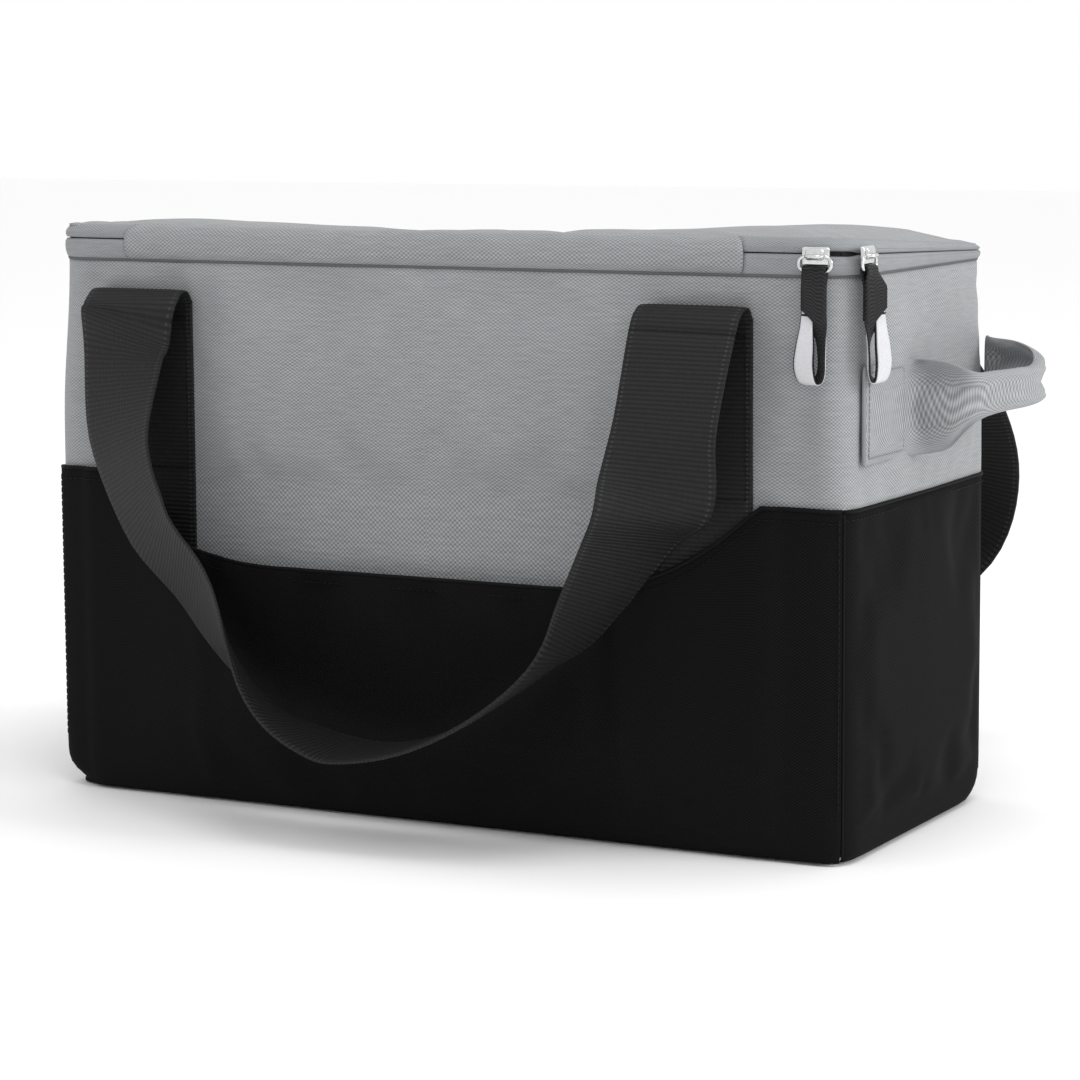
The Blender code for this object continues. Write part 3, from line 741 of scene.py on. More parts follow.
FOAM_T = 7.6 * MM
LAYER_CORNER_R = 16 * MM
wall_foam = cloth_sheet("wall_foam", 2 * COLUMNS, 60, ROUND, SEAM_Z - 6 * MM,
                        lambda u, v: wall(u, v + 5 * MM, -2.2 * MM), closed=True)
finish_cloth(wall_foam, thickness=FOAM_T, subdivide=0)
cover(wall_foam, foam_white)
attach(wall_foam, "bag_body")
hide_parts("front_foam", "back_foam", "left_foam", "right_foam")


def base_layer(name, inset, low, high):
    """A flat layer that lies inside the turned-in foot of the walls."""
    def place(u, v):
        return Vector((*round_off(u - HALF_X + inset, v - HALF_Y + inset, HALF_X - inset, HALF_Y - inset,
                                  LAYER_CORNER_R), low))
    layer = cloth_sheet(name, 80, 34, 2 * (HALF_X - inset), 2 * (HALF_Y - inset), place)
    finish_cloth(layer, thickness=high - low, subdivide=0, offset=1.0)
    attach(layer, "bag_body")
    return layer


base_foam = base_layer("base_foam_sheet", 12 * MM, 3.9 * MM, 9.6 * MM)
cover(base_foam, foam_white)
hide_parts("base_foam")

board_black, tree, shader = new_material("black polypropylene board")
place = add_node(tree, "ShaderNodeTexCoord")
grain = add_node(tree, "ShaderNodeTexNoise", {"Vector": place.outputs["Object"], "Scale": 700.0,
                                              "Detail": 3.0})
board_shade = add_node(tree, "ShaderNodeMix", {"Factor": grain.outputs["Fac"], 6: paint("#232324"),
                                               7: paint("#2E2E2F")}, data_type="RGBA")
tree.links.new(board_shade.outputs[2], shader.inputs["Base Color"])
shader.inputs["Roughness"].default_value = 0.55
base_board = base_layer("base_stiffener", 9 * MM, 1.9 * MM, 3.7 * MM)
cover(base_board, board_black)
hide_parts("base_board")

RIM_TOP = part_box("rim_binding")[1][2]
# (inset, height above its top) in millimetres: up the outside, over the top and down the inside
RIM_SECTION = [(0.4, -6.0), (0.2, -1.2), (1.2, -0.1), (5.0, 0.25), (9.4, -0.1), (10.9, -1.2), (11.1, -7.0)]


def along_section(section, share):
    """A place on a section drawn as a row of points, share of the way from its first to its last."""
    place = share * (len(section) - 1)
    index = min(int(place), len(section) - 2)
    t = place - index
    return tuple(a * (1 - t) + b * t for a, b in zip(section[index], section[index + 1]))


def rim_point(u, v):
    """The binding's section, carried round the top of the wall."""
    inset, rise = along_section(RIM_SECTION, v)
    x, y = plan(u, (inset + 1.2) * MM, (20 - inset) * MM)
    return Vector((x, y, RIM_TOP + rise * MM))


rim = cloth_sheet("rim_binding_tape", 480, 12, ROUND, 1.0, rim_point, closed=True, pattern_v=24 * MM)
finish_cloth(rim, thickness=0.4 * MM, subdivide=0)


def ribbed(name, high_hex, shaded_low_hex, rib, wander, depth, roughness, herringbone=0.0):
    """Narrow woven webbing or ribbon: ribs across the strap, with yarns crossing them, and painted shade in
    the hollows between the ribs.
    """
    material, tree, shader = new_material(name)
    uv = add_node(tree, "ShaderNodeUVMap", uv_map="UVMap")
    split = add_node(tree, "ShaderNodeSeparateXYZ", {"Vector": uv.outputs["UV"]})
    zigzag = wave(tree, split.outputs["X"], wander)
    shift = add_node(tree, "ShaderNodeMath", {0: zigzag, 1: herringbone}, operation="MULTIPLY")
    along = add_node(tree, "ShaderNodeMath", {0: split.outputs["Y"], 1: 2 * math.pi / rib},
                     operation="MULTIPLY")
    phase = add_node(tree, "ShaderNodeMath", {0: along.outputs[0], 1: shift.outputs[0]}, operation="ADD")
    ribs = add_node(tree, "ShaderNodeMath", {0: phase.outputs[0]}, operation="SINE")
    crown = add_node(tree, "ShaderNodeMapRange", {"Value": ribs.outputs[0], "From Min": -1.0,
                                                  "From Max": 1.0})
    yarn = uneven_yarn(tree, uv, 1400.0, 500.0)
    # the low colour is painted shade: the hollows between the ribs are coloured darker than their crowns
    mixed = add_node(tree, "ShaderNodeMix", {"Factor": crown.outputs[0], 6: paint(shaded_low_hex),
                                             7: paint(high_hex)}, data_type="RGBA")
    shade = add_node(tree, "ShaderNodeMapRange", {"Value": yarn, "From Min": 0.3, "From Max": 0.7,
                                                  "To Min": 0.82, "To Max": 1.18})
    show_threads(tree, shader, mixed.outputs[2], shade.outputs[0], crown.outputs[0], yarn, 0.7, depth)
    shader.inputs["Roughness"].default_value = roughness
    shader.inputs["Specular IOR Level"].default_value = 0.2
    return material


# Nylon binding: fine ribs a millimetre apart across the tape
nylon_binding = ribbed("black nylon binding", "#1A1A1B", "#0A0A0B", 1.2 * MM, 3 * MM, 0.2 * MM, 0.6)
cover(rim, nylon_binding)
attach(rim, "bag_body")
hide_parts("rim_binding")

# ---------------------------------------------------------------------------------------------------
# Top band: the strip between the seam at the top of the wall and the lid. A fabric hinge fills most of
# the front; a coil zip with a tape above and below it runs round the rest. All of it is soft, so it
# sags towards the back and rounds off over the corners.
# ---------------------------------------------------------------------------------------------------
hinge_low, hinge_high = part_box("lid_hinge_strip")
HINGE_FROM = hinge_low[0] - 0.2 * MM
HINGE_TO = hinge_high[0] + 0.2 * MM
ZIP_FROM = HINGE_TO                      # stations round the bag
ZIP_TO = ROUND + HINGE_FROM
LID_TOP_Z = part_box("lid_top_panel")[1][2]
slider_a_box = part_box("slider_a")
slider_b_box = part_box("slider_b")
SLIDER_A_X = 0.5 * (slider_a_box[0][0] + slider_a_box[1][0])
SLIDER_B_Y = 0.5 * (slider_b_box[0][1] + slider_b_box[1][1])
SLIDER_A_STATION = SLIDER_A_X
SLIDER_B_STATION = HALF_X + HALF_Y + SLIDER_B_Y
# (inset, height above the seam) in millimetres, from the seam up to the lid
HINGE_SECTION = [(0.6, -0.2), (-0.7, 0.8), (-1.7, 3.2), (-2.1, 7.0), (-2.0, 10.2), (-1.2, 13.2),
                 (0.6, 15.2), (3.0, 16.1)]
LOWER_TAPE_SECTION = [(0.6, -0.3), (-0.5, 0.8), (-1.0, 3.0), (-1.2, 5.4), (-1.1, 7.8), (-0.5, 9.15),
                      (0.9, 9.35)]
UPPER_TAPE_SECTION = [(0.9, 9.65), (-0.5, 9.85), (-1.0, 11.1), (-0.8, 13.0), (0.1, 14.7), (1.6, 15.9),
                      (3.8, 16.3)]


def sag(x, y):
    """How far the soft top has sunk at a place, as a share of its height above the seam."""
    back = min(max((y + HALF_Y) / (2 * HALF_Y), 0.0), 1.0)
    held_up = math.exp(-((x - 130 * MM) / (55 * MM)) ** 2)        # the foam is stiffest here
    right_back = ease((x - 160 * MM) / (40 * MM))
    return back * (0.62 - 0.34 * held_up + 0.1 * right_back)


def sunk(point):
    """The same point after the top has sagged."""
    point.z = SEAM_Z + (point.z - SEAM_Z) * (1 - sag(point.x, point.y))
    return point


def band_point(section, station, share):
    """A point of a section, carried round the top of the wall and sagged with it."""
    inset, rise = along_section(section, share)
    return sunk(wall(station, SEAM_Z + rise * MM, -inset * MM))


def crumple(point, size, height):
    """A small lift for cloth that has been handled: folds of about the given size."""
    return height * noise.noise(point / size)


def band_strip(name, section, start, end, columns, rows, wide):
    """A strip of cloth with this section, from one station to another."""
    def place(u, v):
        point = band_point(section, start + u, v)
        folds = crumple(point + Vector((0, 0, 3)), 22 * MM, 0.5 * MM) * math.sin(math.pi * v)
        return point + away(point) * folds
    return cloth_sheet(name, columns, rows, end - start, 1.0, place, pattern_v=wide)


hinge_strip = band_strip("lid_hinge_cloth", HINGE_SECTION, ROUND + HINGE_FROM, ROUND + HINGE_TO, 120, 14,
                         20 * MM)
finish_cloth(hinge_strip, thickness=0.9 * MM, subdivide=0)
cover(hinge_strip, grey_cloth)
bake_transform(hinge_strip)
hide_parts("lid_hinge_strip")

# Tape of a coil zip: finer and flatter than the wall cloth, with the same painted shade between its threads
tape_cloth = woven("grey polyester zip tape", "#989B9D", "#76787A", 1.3 * MM, 0.15 * MM, 0.75, 0.02)


def part_at_sliders(section, station, turn):
    """Between the two sliders the zip is open a little: its tape edges stand apart there."""
    open_zip = ease((station - SLIDER_A_STATION) / (6 * MM)) * ease((SLIDER_B_STATION - station) / (6 * MM))
    return [(i, r + turn * 0.9 * open_zip * (1 - abs(r - 9.5) / 10)) for i, r in section]


def tape_strip(name, section, turn):
    """One tape of the zip, from one end of the hinge strip round the bag to the other."""
    def place(u, v):
        station = ZIP_FROM + u
        return band_point(part_at_sliders(section, station, turn), station, v)
    strip = cloth_sheet(name, 330, 12, ZIP_TO - ZIP_FROM, 1.0, place, pattern_v=15 * MM)
    finish_cloth(strip, thickness=0.8 * MM, subdivide=0)
    cover(strip, tape_cloth)
    return strip


lower_tape = tape_strip("zip_tape_lower_cloth", LOWER_TAPE_SECTION, -1)
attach(lower_tape, "bag_body")
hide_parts("zip_tape_lower")
upper_tape = tape_strip("zip_tape_upper_cloth", UPPER_TAPE_SECTION, 1)
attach(upper_tape, "lid")
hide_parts("zip_tape_upper")

# A row of stitching holds the coil to each tape
zip_stations = [ZIP_FROM + 4 * MM + (ZIP_TO - ZIP_FROM - 8 * MM) * k / 300 for k in range(301)]
for name, body, rise, out in (("lower_tape_stitches", "bag_body", 7.2, 1.0),
                              ("upper_tape_stitches", "lid", 11.9, 0.8)):
    row = stitches(name, [sunk(wall(s, SEAM_Z + rise * MM, out * MM)) for s in zip_stations], away,
                   long=0.9 * MM, pitch=1.5 * MM, radius=0.2 * MM)
    cover(row, grey_thread)
    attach(row, body)

# Rolled seam where the band is sewn to the wall. The roll is real; its colour, darker than the band's
# cloth, is a painted shadow line under the band
band_seam = bead("top_seam_roll", [wall(ROUND * k / 260, SEAM_Z - 0.1 * MM, -0.3 * MM) for k in range(260)],
                 0.9 * MM, closed=True)
cover(band_seam, seam_shadow_binding)
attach(band_seam, "bag_body")

# Coil teeth: two rows of nylon elements that mesh. They show only between the two sliders.
TOOTH_PITCH = 1.5 * MM


def teeth(name, rise, shift):
    """One row of teeth round the zip, shift of a pitch along it."""
    pattern, faces = small_part(8)
    verts, polys = [], []
    count = int((ZIP_TO - ZIP_FROM - 10 * MM) / TOOTH_PITCH)
    for k in range(count):
        station = ZIP_FROM + 5 * MM + (k + shift) * TOOTH_PITCH
        middle = sunk(wall(station, SEAM_Z + rise * MM, -1.1 * MM))
        out = away(middle)
        along = out.cross(Vector((0, 0, 1)))
        start = len(verts)
        for p in pattern:
            verts.append(middle + along * p.x * 0.36 * MM + out * p.y * 1.1 * MM
                         + Vector((0, 0, p.z * 1.9 * MM)))
        polys += [tuple(start + i for i in face) for face in faces]
    return laid_out(name, verts, polys)


nylon, tree, shader = new_material("black nylon zip coil")
place = add_node(tree, "ShaderNodeTexCoord")
wear = add_node(tree, "ShaderNodeTexNoise", {"Vector": place.outputs["Object"], "Scale": 400.0,
                                             "Detail": 2.0})
wear_shade = add_node(tree, "ShaderNodeMix", {"Factor": wear.outputs["Fac"], 6: paint("#111112"),
                                              7: paint("#242425")}, data_type="RGBA")
tree.links.new(wear_shade.outputs[2], shader.inputs["Base Color"])
wear_rough = add_node(tree, "ShaderNodeMapRange", {"Value": wear.outputs["Fac"], "To Min": 0.28,
                                                   "To Max": 0.45})
tree.links.new(wear_rough.outputs[0], shader.inputs["Roughness"])

lower_teeth = teeth("zip_teeth_lower", 8.9, 0.0)
cover(lower_teeth, nylon)
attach(lower_teeth, "bag_body")
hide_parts("zip_coil_lower")
upper_teeth = teeth("zip_teeth_upper", 10.1, 0.5)
cover(upper_teeth, nylon)
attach(upper_teeth, "lid")
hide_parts("zip_coil_upper")

# ---------------------------------------------------------------------------------------------------
# Lid: grey cloth over a thin foam sheet, with a silver foil lining below. It is puffed up at its two
# ends and has settled in the middle and towards the back.
# ---------------------------------------------------------------------------------------------------
LID_ROLL = 5 * MM               # radius of the turn at the lid's edge
RIM_REACH = 14 * MM             # the wall's rim lies under the lid this far in from its edge


def lid_surface(x, y, inset):
    """Height of the lid's cloth at a place, with the plan already drawn in by inset at its edge."""
    edge = min(HALF_X - inset - abs(x), HALF_Y - inset - abs(y))
    roll = LID_ROLL - math.sqrt(max(LID_ROLL ** 2 - max(LID_ROLL - edge, 0.0) ** 2, 0.0))
    puff = ease(edge / (45 * MM))
    ends = math.exp(-((abs(x) - 148 * MM) / (38 * MM)) ** 2)
    front = 1 - ease((y + HALF_Y) / (2.2 * HALF_Y))
    lift = 1.2 * MM + puff * (2.0 * MM * ends * (0.35 + 0.65 * front) - 1.4 * MM * (1 - ends))
    folds = puff * crumple(Vector((x * 0.6, y, 0)), 45 * MM, 0.8 * MM)
    return LID_TOP_Z - 2.0 * MM - roll * 0.55 + lift + folds


def lid_grid(name, inset, radius, drop, least=None, shape=None):
    """A sheet over the lid's plan, drop below its top, and least or more above the seam over the rim."""
    def place(u, v):
        half_x, half_y = HALF_X - inset, HALF_Y - inset
        x, y = round_off(u - half_x, v - half_y, half_x, half_y, radius)
        point = sunk(Vector((x, y, lid_surface(x, y, inset))))
        point.z -= drop
        if shape:
            point.z += shape(x, y)
        over_rim = min(HALF_X - abs(x), HALF_Y - abs(y)) < RIM_REACH
        if least and over_rim:
            point.z = max(point.z, SEAM_Z + least)
        return point
    return cloth_sheet(name, 110, 48, 2 * (HALF_X - inset), 2 * (HALF_Y - inset), place)


def lid_held(point):
    """Held along its sewn edge and round its corners."""
    in_x, in_y = HALF_X - abs(point.x), HALF_Y - abs(point.y)
    return 1.0 if min(in_x, in_y) < 5 * MM or math.hypot(in_x, in_y) < 12 * MM else 0.0


lid_top = lid_grid("lid_top_cloth", 0.8 * MM, 21 * MM, 0.0)
swell_cloth(lid_top, lid_held, pressure=0.5, slack=0.01, cap=2.0 * MM)
finish_cloth(lid_top, thickness=0.9 * MM)
cover(lid_top, grey_cloth)
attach(lid_top, "lid")
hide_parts("lid_top_panel")

lid_foam = lid_grid("lid_foam_sheet", 7.5 * MM, 16 * MM, 1.6 * MM, least=3.5 * MM)
finish_cloth(lid_foam, thickness=2.8 * MM, subdivide=0)
cover(lid_foam, foam_white)
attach(lid_foam, "lid")
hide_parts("lid_foam")


def quilt(x, y):
    """Lining heat-sealed along its edge, with a soft ridge beside the seal."""
    edge = min(HALF_X - abs(x), HALF_Y - abs(y)) - 6 * MM
    return -1.6 * MM * ease(edge / (6 * MM)) + 1.2 * MM * math.exp(-((edge - 10 * MM) / (2 * MM)) ** 2)


lid_lining = lid_grid("lid_silver_lining", 5 * MM, 18 * MM, 4.8 * MM, least=0.9 * MM,
                      shape=lambda x, y: quilt(x, y) + crumple(Vector((x, y, 5)), 24 * MM, 0.6 * MM))
finish_cloth(lid_lining, thickness=0.5 * MM, subdivide=0)
cover(lid_lining, silver_foil)
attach(lid_lining, "lid")
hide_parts("lid_liner")

# ---------------------------------------------------------------------------------------------------
# Zip sliders and their wire rings: zinc castings, polished and bright-plated.
# ---------------------------------------------------------------------------------------------------
SLIDER_Z = 0.5 * (slider_a_box[0][2] + slider_a_box[1][2])
ring_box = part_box("pull_ring_a")
RING_WIRE_R = 0.7 * MM
RING_OUT = -HALF_Y - 0.5 * (ring_box[0][1] + ring_box[1][1])
RING_LOW = ring_box[0][2] + RING_WIRE_R
RING_HALF = 0.5 * (ring_box[1][0] - ring_box[0][0]) - RING_WIRE_R
HANG = 6 * MM                   # a tab starts to turn this far below the slider's middle


def at_slider(label, a, out, z):
    """A place by a slider: a to the right along the wall, out from the wall, and z in the world."""
    if label == "a":
        return Vector((SLIDER_A_X + a, -HALF_Y - out, z))
    return Vector((HALF_X + out, SLIDER_B_Y - a, z))


def turned(label, a, out, z):
    """The same for a tab, which hangs turned a little towards the bag's front right corner."""
    hanging = ease((SLIDER_Z - HANG - z) / (8 * MM))
    turn = math.radians(16 if label == "a" else 34) * hanging
    side = a if label == "a" else -a
    swing = out - RING_OUT
    lean = (1.2 * MM + 1.5 * MM * (label == "b")) * hanging
    if label == "a":
        return Vector((SLIDER_A_X + side * math.cos(turn) + swing * math.sin(turn),
                       -HALF_Y - RING_OUT - lean - swing * math.cos(turn) + side * math.sin(turn), z))
    return Vector((HALF_X + RING_OUT + lean + swing * math.cos(turn) + side * math.sin(turn),
                   SLIDER_B_Y + side * math.cos(turn) - swing * math.sin(turn), z))


def merge(name, pieces):
    """Join separate shells of one casting or one sewn piece into one mesh."""
    pick_nothing()
    for piece in pieces:
        piece.select_set(True)
    bpy.context.view_layer.objects.active = pieces[0]
    bpy.ops.object.join()
    bpy.context.object.name = name
    return bpy.context.object


def rounded_block(name, label, wide, deep, high, out, z, soft):
    """A block by a slider with well-rounded edges."""
    pick_nothing()
    bpy.ops.mesh.primitive_cube_add(size=1.0)
    block = bpy.context.object
    block.name = name
    for vert in block.data.vertices:
        vert.co = at_slider(label, vert.co.x * wide, out + vert.co.y * deep, z + vert.co.z * high)
    if label == "b":
        block.data.flip_normals()
    rounding = block.modifiers.new("rounding", "BEVEL")
    rounding.width = soft
    rounding.segments = 4
    bpy.ops.object.modifier_apply(modifier="rounding")
    return face_out(block)


zinc, tree, shader = new_material("bright nickel-plated zinc")
place = add_node(tree, "ShaderNodeTexCoord")
scuffs = add_node(tree, "ShaderNodeTexNoise", {"Vector": place.outputs["Object"], "Scale": 700.0,
                                               "Detail": 4.0})
rough = add_node(tree, "ShaderNodeMapRange", {"Value": scuffs.outputs["Fac"], "To Min": 0.08,
                                              "To Max": 0.3})
tree.links.new(rough.outputs[0], shader.inputs["Roughness"])
tarnish = add_node(tree, "ShaderNodeMix", {"Factor": scuffs.outputs["Fac"], 6: paint("#B9BABB"),
                                           7: paint("#E4E5E5")}, data_type="RGBA")
tree.links.new(tarnish.outputs[2], shader.inputs["Base Color"])
dents = add_node(tree, "ShaderNodeBump", {"Strength": 0.15, "Distance": 0.2 * MM,
                                          "Height": scuffs.outputs["Fac"]})
tree.links.new(dents.outputs[0], shader.inputs["Normal"])
shader.inputs["Metallic"].default_value = 1.0

for label in ("a", "b"):
    plate = rounded_block("plate", label, 12.5 * MM, 2.2 * MM, 7.8 * MM, 2.5 * MM, SLIDER_Z, 1.05 * MM)
    nose = rounded_block("nose", label, 8.4 * MM, 2.4 * MM, 4.8 * MM, 3.7 * MM, SLIDER_Z + 0.8 * MM,
                         1.15 * MM)
    arch_route = [at_slider(label, a * MM, out * MM, SLIDER_Z + z * MM) for a, out, z in
                  ((-3.6, 2.6, 0.0), (-3.6, 4.6, 0.0), (-2.7, 5.8, 0.0), (-1.2, 6.3, 0.0), (1.2, 6.3, 0.0),
                   (2.7, 5.8, 0.0), (3.6, 4.6, 0.0), (3.6, 2.6, 0.0))]
    arch = bead("arch", arch_route, 0.85 * MM)
    slider = merge(f"zip_slider_{label}_casting", [plate, nose, arch])
    cover(slider, zinc)
    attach(slider, f"zip_slider_{label}")
    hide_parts(f"slider_{label}")

    ring_route = []
    for k in range(28):
        turn = 2 * math.pi * k / 28
        a = RING_HALF * math.copysign(abs(math.cos(turn)) ** 0.75, math.cos(turn))
        high = 0.5 * (SLIDER_Z + 0.4 * MM - RING_LOW)
        z = RING_LOW + high + high * math.copysign(abs(math.sin(turn)) ** 0.8, math.sin(turn))
        ring_route.append(at_slider(label, a, RING_OUT, z))
    wire = bead(f"pull_ring_{label}_wire", ring_route, 0.75 * MM, closed=True, resolution=4)
    cover(wire, zinc)
    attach(wire, f"zip_ring_{label}")
    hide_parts(f"pull_ring_{label}")

# ---------------------------------------------------------------------------------------------------
# Pull tabs: 11 mm ribbed ribbon, doubled over the ring and turned into an open loop at its end, with
# a pale reflective tape sewn to the ribbon's inner face.
# ---------------------------------------------------------------------------------------------------
TAB_HALF = 5.3 * MM
TAB_FORK = RING_LOW - 19 * MM
RIBBON_T = 0.7 * MM
# ribbed polyester ribbon: ribs 1.5 mm apart that waver across its width
ribbon = ribbed("dark ribbed ribbon", "#2B2A2C", "#131214", 1.5 * MM, 4.5 * MM, 0.3 * MM, 0.6,
                herringbone=1.6)

reflective, tree, shader = new_material("pale reflective tape")
place = add_node(tree, "ShaderNodeTexCoord")
beads = add_node(tree, "ShaderNodeTexVoronoi", {"Vector": place.outputs["Object"], "Scale": 2600.0})
bead_shade = add_node(tree, "ShaderNodeMix", {"Factor": beads.outputs["Distance"], 6: paint("#CFCFD2"),
                                              7: paint("#B4B4B8")}, data_type="RGBA")
tree.links.new(bead_shade.outputs[2], shader.inputs["Base Color"])
bead_bump = add_node(tree, "ShaderNodeBump", {"Strength": 0.3, "Distance": 0.05 * MM,
                                              "Height": beads.outputs["Distance"]})
tree.links.new(bead_bump.outputs[0], shader.inputs["Normal"])
shader.inputs["Roughness"].default_value = 0.5
shader.inputs["Specular IOR Level"].default_value = 0.6


def smooth_route(points, t):
    """A point on a smooth line through the points, t counted in points."""
    i = min(max(int(t), 0), len(points) - 2)
    f = t - i
    p = [Vector(points[min(max(i + k, 0), len(points) - 1)]) for k in (-1, 0, 1, 2)]
    return 0.5 * (2 * p[1] + (p[2] - p[0]) * f + (2 * p[0] - 5 * p[1] + 4 * p[2] - p[3]) * f ** 2
                  + (3 * p[1] - p[0] - 3 * p[2] + p[3]) * f ** 3)


# the loop seen from the front: (a, out, z below the fork, half width along a, half width along out)
TAB_LOOP = [(0.0, 3.4, 2.0, 5.4, 0.2), (1.6, 3.6, -3.0, 4.0, 1.0), (3.0, 4.0, -8.5, 2.3, 2.4),
            (3.4, 4.3, -16.0, 1.7, 3.0), (3.1, 4.3, -23.0, 1.8, 3.0), (1.0, 4.3, -26.4, 2.6, 2.6),
            (-2.4, 4.3, -26.0, 4.0, 1.6), (-4.0, 4.2, -20.0, 4.4, 0.9), (-3.6, 3.9, -12.0, 4.0, 0.4),
            (-3.0, 3.2, -4.0, 3.0, 0.2), (-2.6, 2.6, 3.0, 2.6, 0.1)]


def lay_ribs(sheet, start, long):
    """Lay the ribbon's pattern from its middle outwards and from start along it. Returns the sheet."""
    for corner in sheet.data.uv_layers[0].uv:
        corner.vector = ((corner.vector[0] - 0.5) * 2 * TAB_HALF, start + corner.vector[1] * long)
    return sheet


def tab_loop_sheet(name, label, lift, narrow):
    """The ribbon's loop as a sheet, moved by lift to its inner face and narrower by a share."""
    routes = [[(p[0], p[1], p[2]) for p in TAB_LOOP], [(p[3], p[4], 0.0) for p in TAB_LOOP]]

    def place(u, v):
        t = v * (len(TAB_LOOP) - 1)
        middle = smooth_route(routes[0], t)
        half = smooth_route(routes[1], t) * (1 - narrow)
        ahead = smooth_route(routes[0], min(t + 0.05, len(TAB_LOOP) - 1.001)) - smooth_route(
            routes[0], max(t - 0.05, 0.0))
        across = Vector((half.x, half.y, 0.0))
        normal = across.cross(ahead)
        normal.normalize()
        local = middle + across * (2 * u - 1) + normal * lift
        return turned(label, local.x * MM, local.y * MM, TAB_FORK + local.z * MM)
    return lay_ribs(cloth_sheet(name, 8, 56, 1.0, 1.0, place), 0, 62 * MM)


def tab_strap_sheet(name, label, out):
    """One layer of the doubled ribbon, from the ring down to the fork."""
    top = RING_LOW + 1.1 * MM

    def place(u, v):
        foot = TAB_FORK - 1.5 * MM - 5.5 * MM * (2 * u - 1) * (1 if out > 0 else 0)
        z = foot + (top - foot) * v
        close = ease((z - RING_LOW + 5 * MM) / (5 * MM))
        return turned(label, (2 * u - 1) * TAB_HALF, RING_OUT + out * (0.55 + 0.45 * close) * MM, z)
    return lay_ribs(cloth_sheet(name, 8, 24, 1.0, 1.0, place), 0, 22 * MM)


def fold_over_ring(name, label):
    """The turn of the ribbon over the straight bar of the ring."""
    def place(u, v):
        turn = math.pi * v
        return at_slider(label, (2 * u - 1) * TAB_HALF, RING_OUT + 1.5 * MM * math.cos(turn),
                         RING_LOW + 1.1 * MM + 1.3 * MM * math.sin(turn))
    return lay_ribs(cloth_sheet(name, 8, 12, 1.0, 1.0, place), 22 * MM, 5 * MM)


for label in ("a", "b"):
    layers = [tab_strap_sheet("front", label, 1.5), fold_over_ring("turn", label),
              tab_strap_sheet("back", label, -1.5), tab_loop_sheet("loop", label, 0.0, 0.0)]
    for layer in layers:
        finish_cloth(layer, thickness=RIBBON_T, subdivide=0, offset=0.0)
    tab = merge(f"pull_tab_{label}_ribbon", layers)
    cover(tab, ribbon)
    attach(tab, f"zip_tab_{label}")
    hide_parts(f"pull_tab_{label}")
    lining = tab_loop_sheet(f"pull_tab_{label}_reflective_tape", label, -0.62, 0.12)
    finish_cloth(lining, thickness=0.35 * MM, subdivide=0, offset=0.0)
    cover(lining, reflective)
    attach(lining, f"zip_tab_{label}")

# ---------------------------------------------------------------------------------------------------
# Carry handles: 50 mm black polypropylene webbing. Each runs up the wall as a sewn leg, folds over at
# the top and hangs down in a loop whose edge has turned outward.
# ---------------------------------------------------------------------------------------------------
WEB_WIDE = 50 * MM
WEB_T = 1.9 * MM
HANDLE_X = 0.5 * (left_leg[0][0] + right_leg[1][0])
LEG_X = right_leg[1][0] - 0.5 * WEB_WIDE - HANDLE_X
LEG_FOOT = left_leg[0][2]
# (x from the handle's middle, distance from the wall, z, twist in degrees), from the fold at the top of
# a leg to the lowest point. The front loop hangs unevenly: its right half turns over sooner.
FOLD = [(140.5, 1.5, 231.2, 0), (140.5, 5, 236, 0), (140.4, 11, 235, 0), (140.2, 18, 226, 0)]
FRONT_RIGHT = FOLD + [(139, 34, 184, -2), (136, 37, 155, 30), (120, 31, 135, 60), (103, 35, 107, 78),
                      (87, 44, 84, 96), (59, 49, 62, 100), (30, 51, 47, 95), (0, 52, 41, 90)]
FRONT_LEFT = FOLD + [(144, 16, 206, 10), (140, 26, 168, 25), (124, 29, 133, 28), (96, 34, 105, 34),
                     (69, 43, 76, 48), (43, 52, 56, 63), (20, 54, 45, 77), (0, 52, 41, 90)]
BACK_ROUTE = [(140.5, 1.5, 231.2, 0), (140.5, 5.5, 236.5, 0), (140.6, 13, 237, 0), (141.5, 26, 232, 0),
              (147, 57, 207, 0), (156, 90, 172, -4), (157, 112, 138, 0), (146, 122, 104, 14),
              (118, 121, 74, 40), (78, 113, 54, 62), (38, 106, 44, 80), (0, 103, 41, 90)]
SECTION_POINTS = 24
LEG_STOPS = 7
STEPS = 6                       # rows of the mesh from one stop of a route to the next
FOLD_END = 10                   # the stop where the fold ends: seven stops up the leg, three over the top


def handle_route(right_half, left_half, side):
    """Centres and twists of the whole strap, from the foot of one leg to the foot of the other."""
    leg = [(LEG_X / MM, 1.3, LEG_FOOT / MM + (229 - LEG_FOOT / MM) * k / (LEG_STOPS - 1), 0)
           for k in range(LEG_STOPS)]
    right = leg + right_half
    left = [(-x, out, z, 180 - twist) for x, out, z, twist in reversed(leg + left_half[:-1])]
    return [(Vector((HANDLE_X + x * MM, side * (HALF_Y + out * MM), z * MM)), twist)
            for x, out, z, twist in right + left]


def run_lengths(centres):
    """How far along a route each of its points lies."""
    lengths = [0.0]
    for first, second in zip(centres, centres[1:]):
        lengths.append(lengths[-1] + (second - first).length)
    return lengths


def close_tube(tube):
    """Join the long seam of a swept strap and close its two ends."""
    pick(tube)
    bpy.ops.object.mode_set(mode="EDIT")
    bpy.ops.mesh.select_all(action="SELECT")
    bpy.ops.mesh.remove_doubles(threshold=0.02 * MM)
    bpy.ops.mesh.select_mode(type="VERT")
    bpy.ops.mesh.select_all(action="DESELECT")
    bpy.ops.mesh.select_non_manifold()
    bpy.ops.mesh.edge_face_add()
    bpy.ops.object.mode_set(mode="OBJECT")
    return face_out(tube)


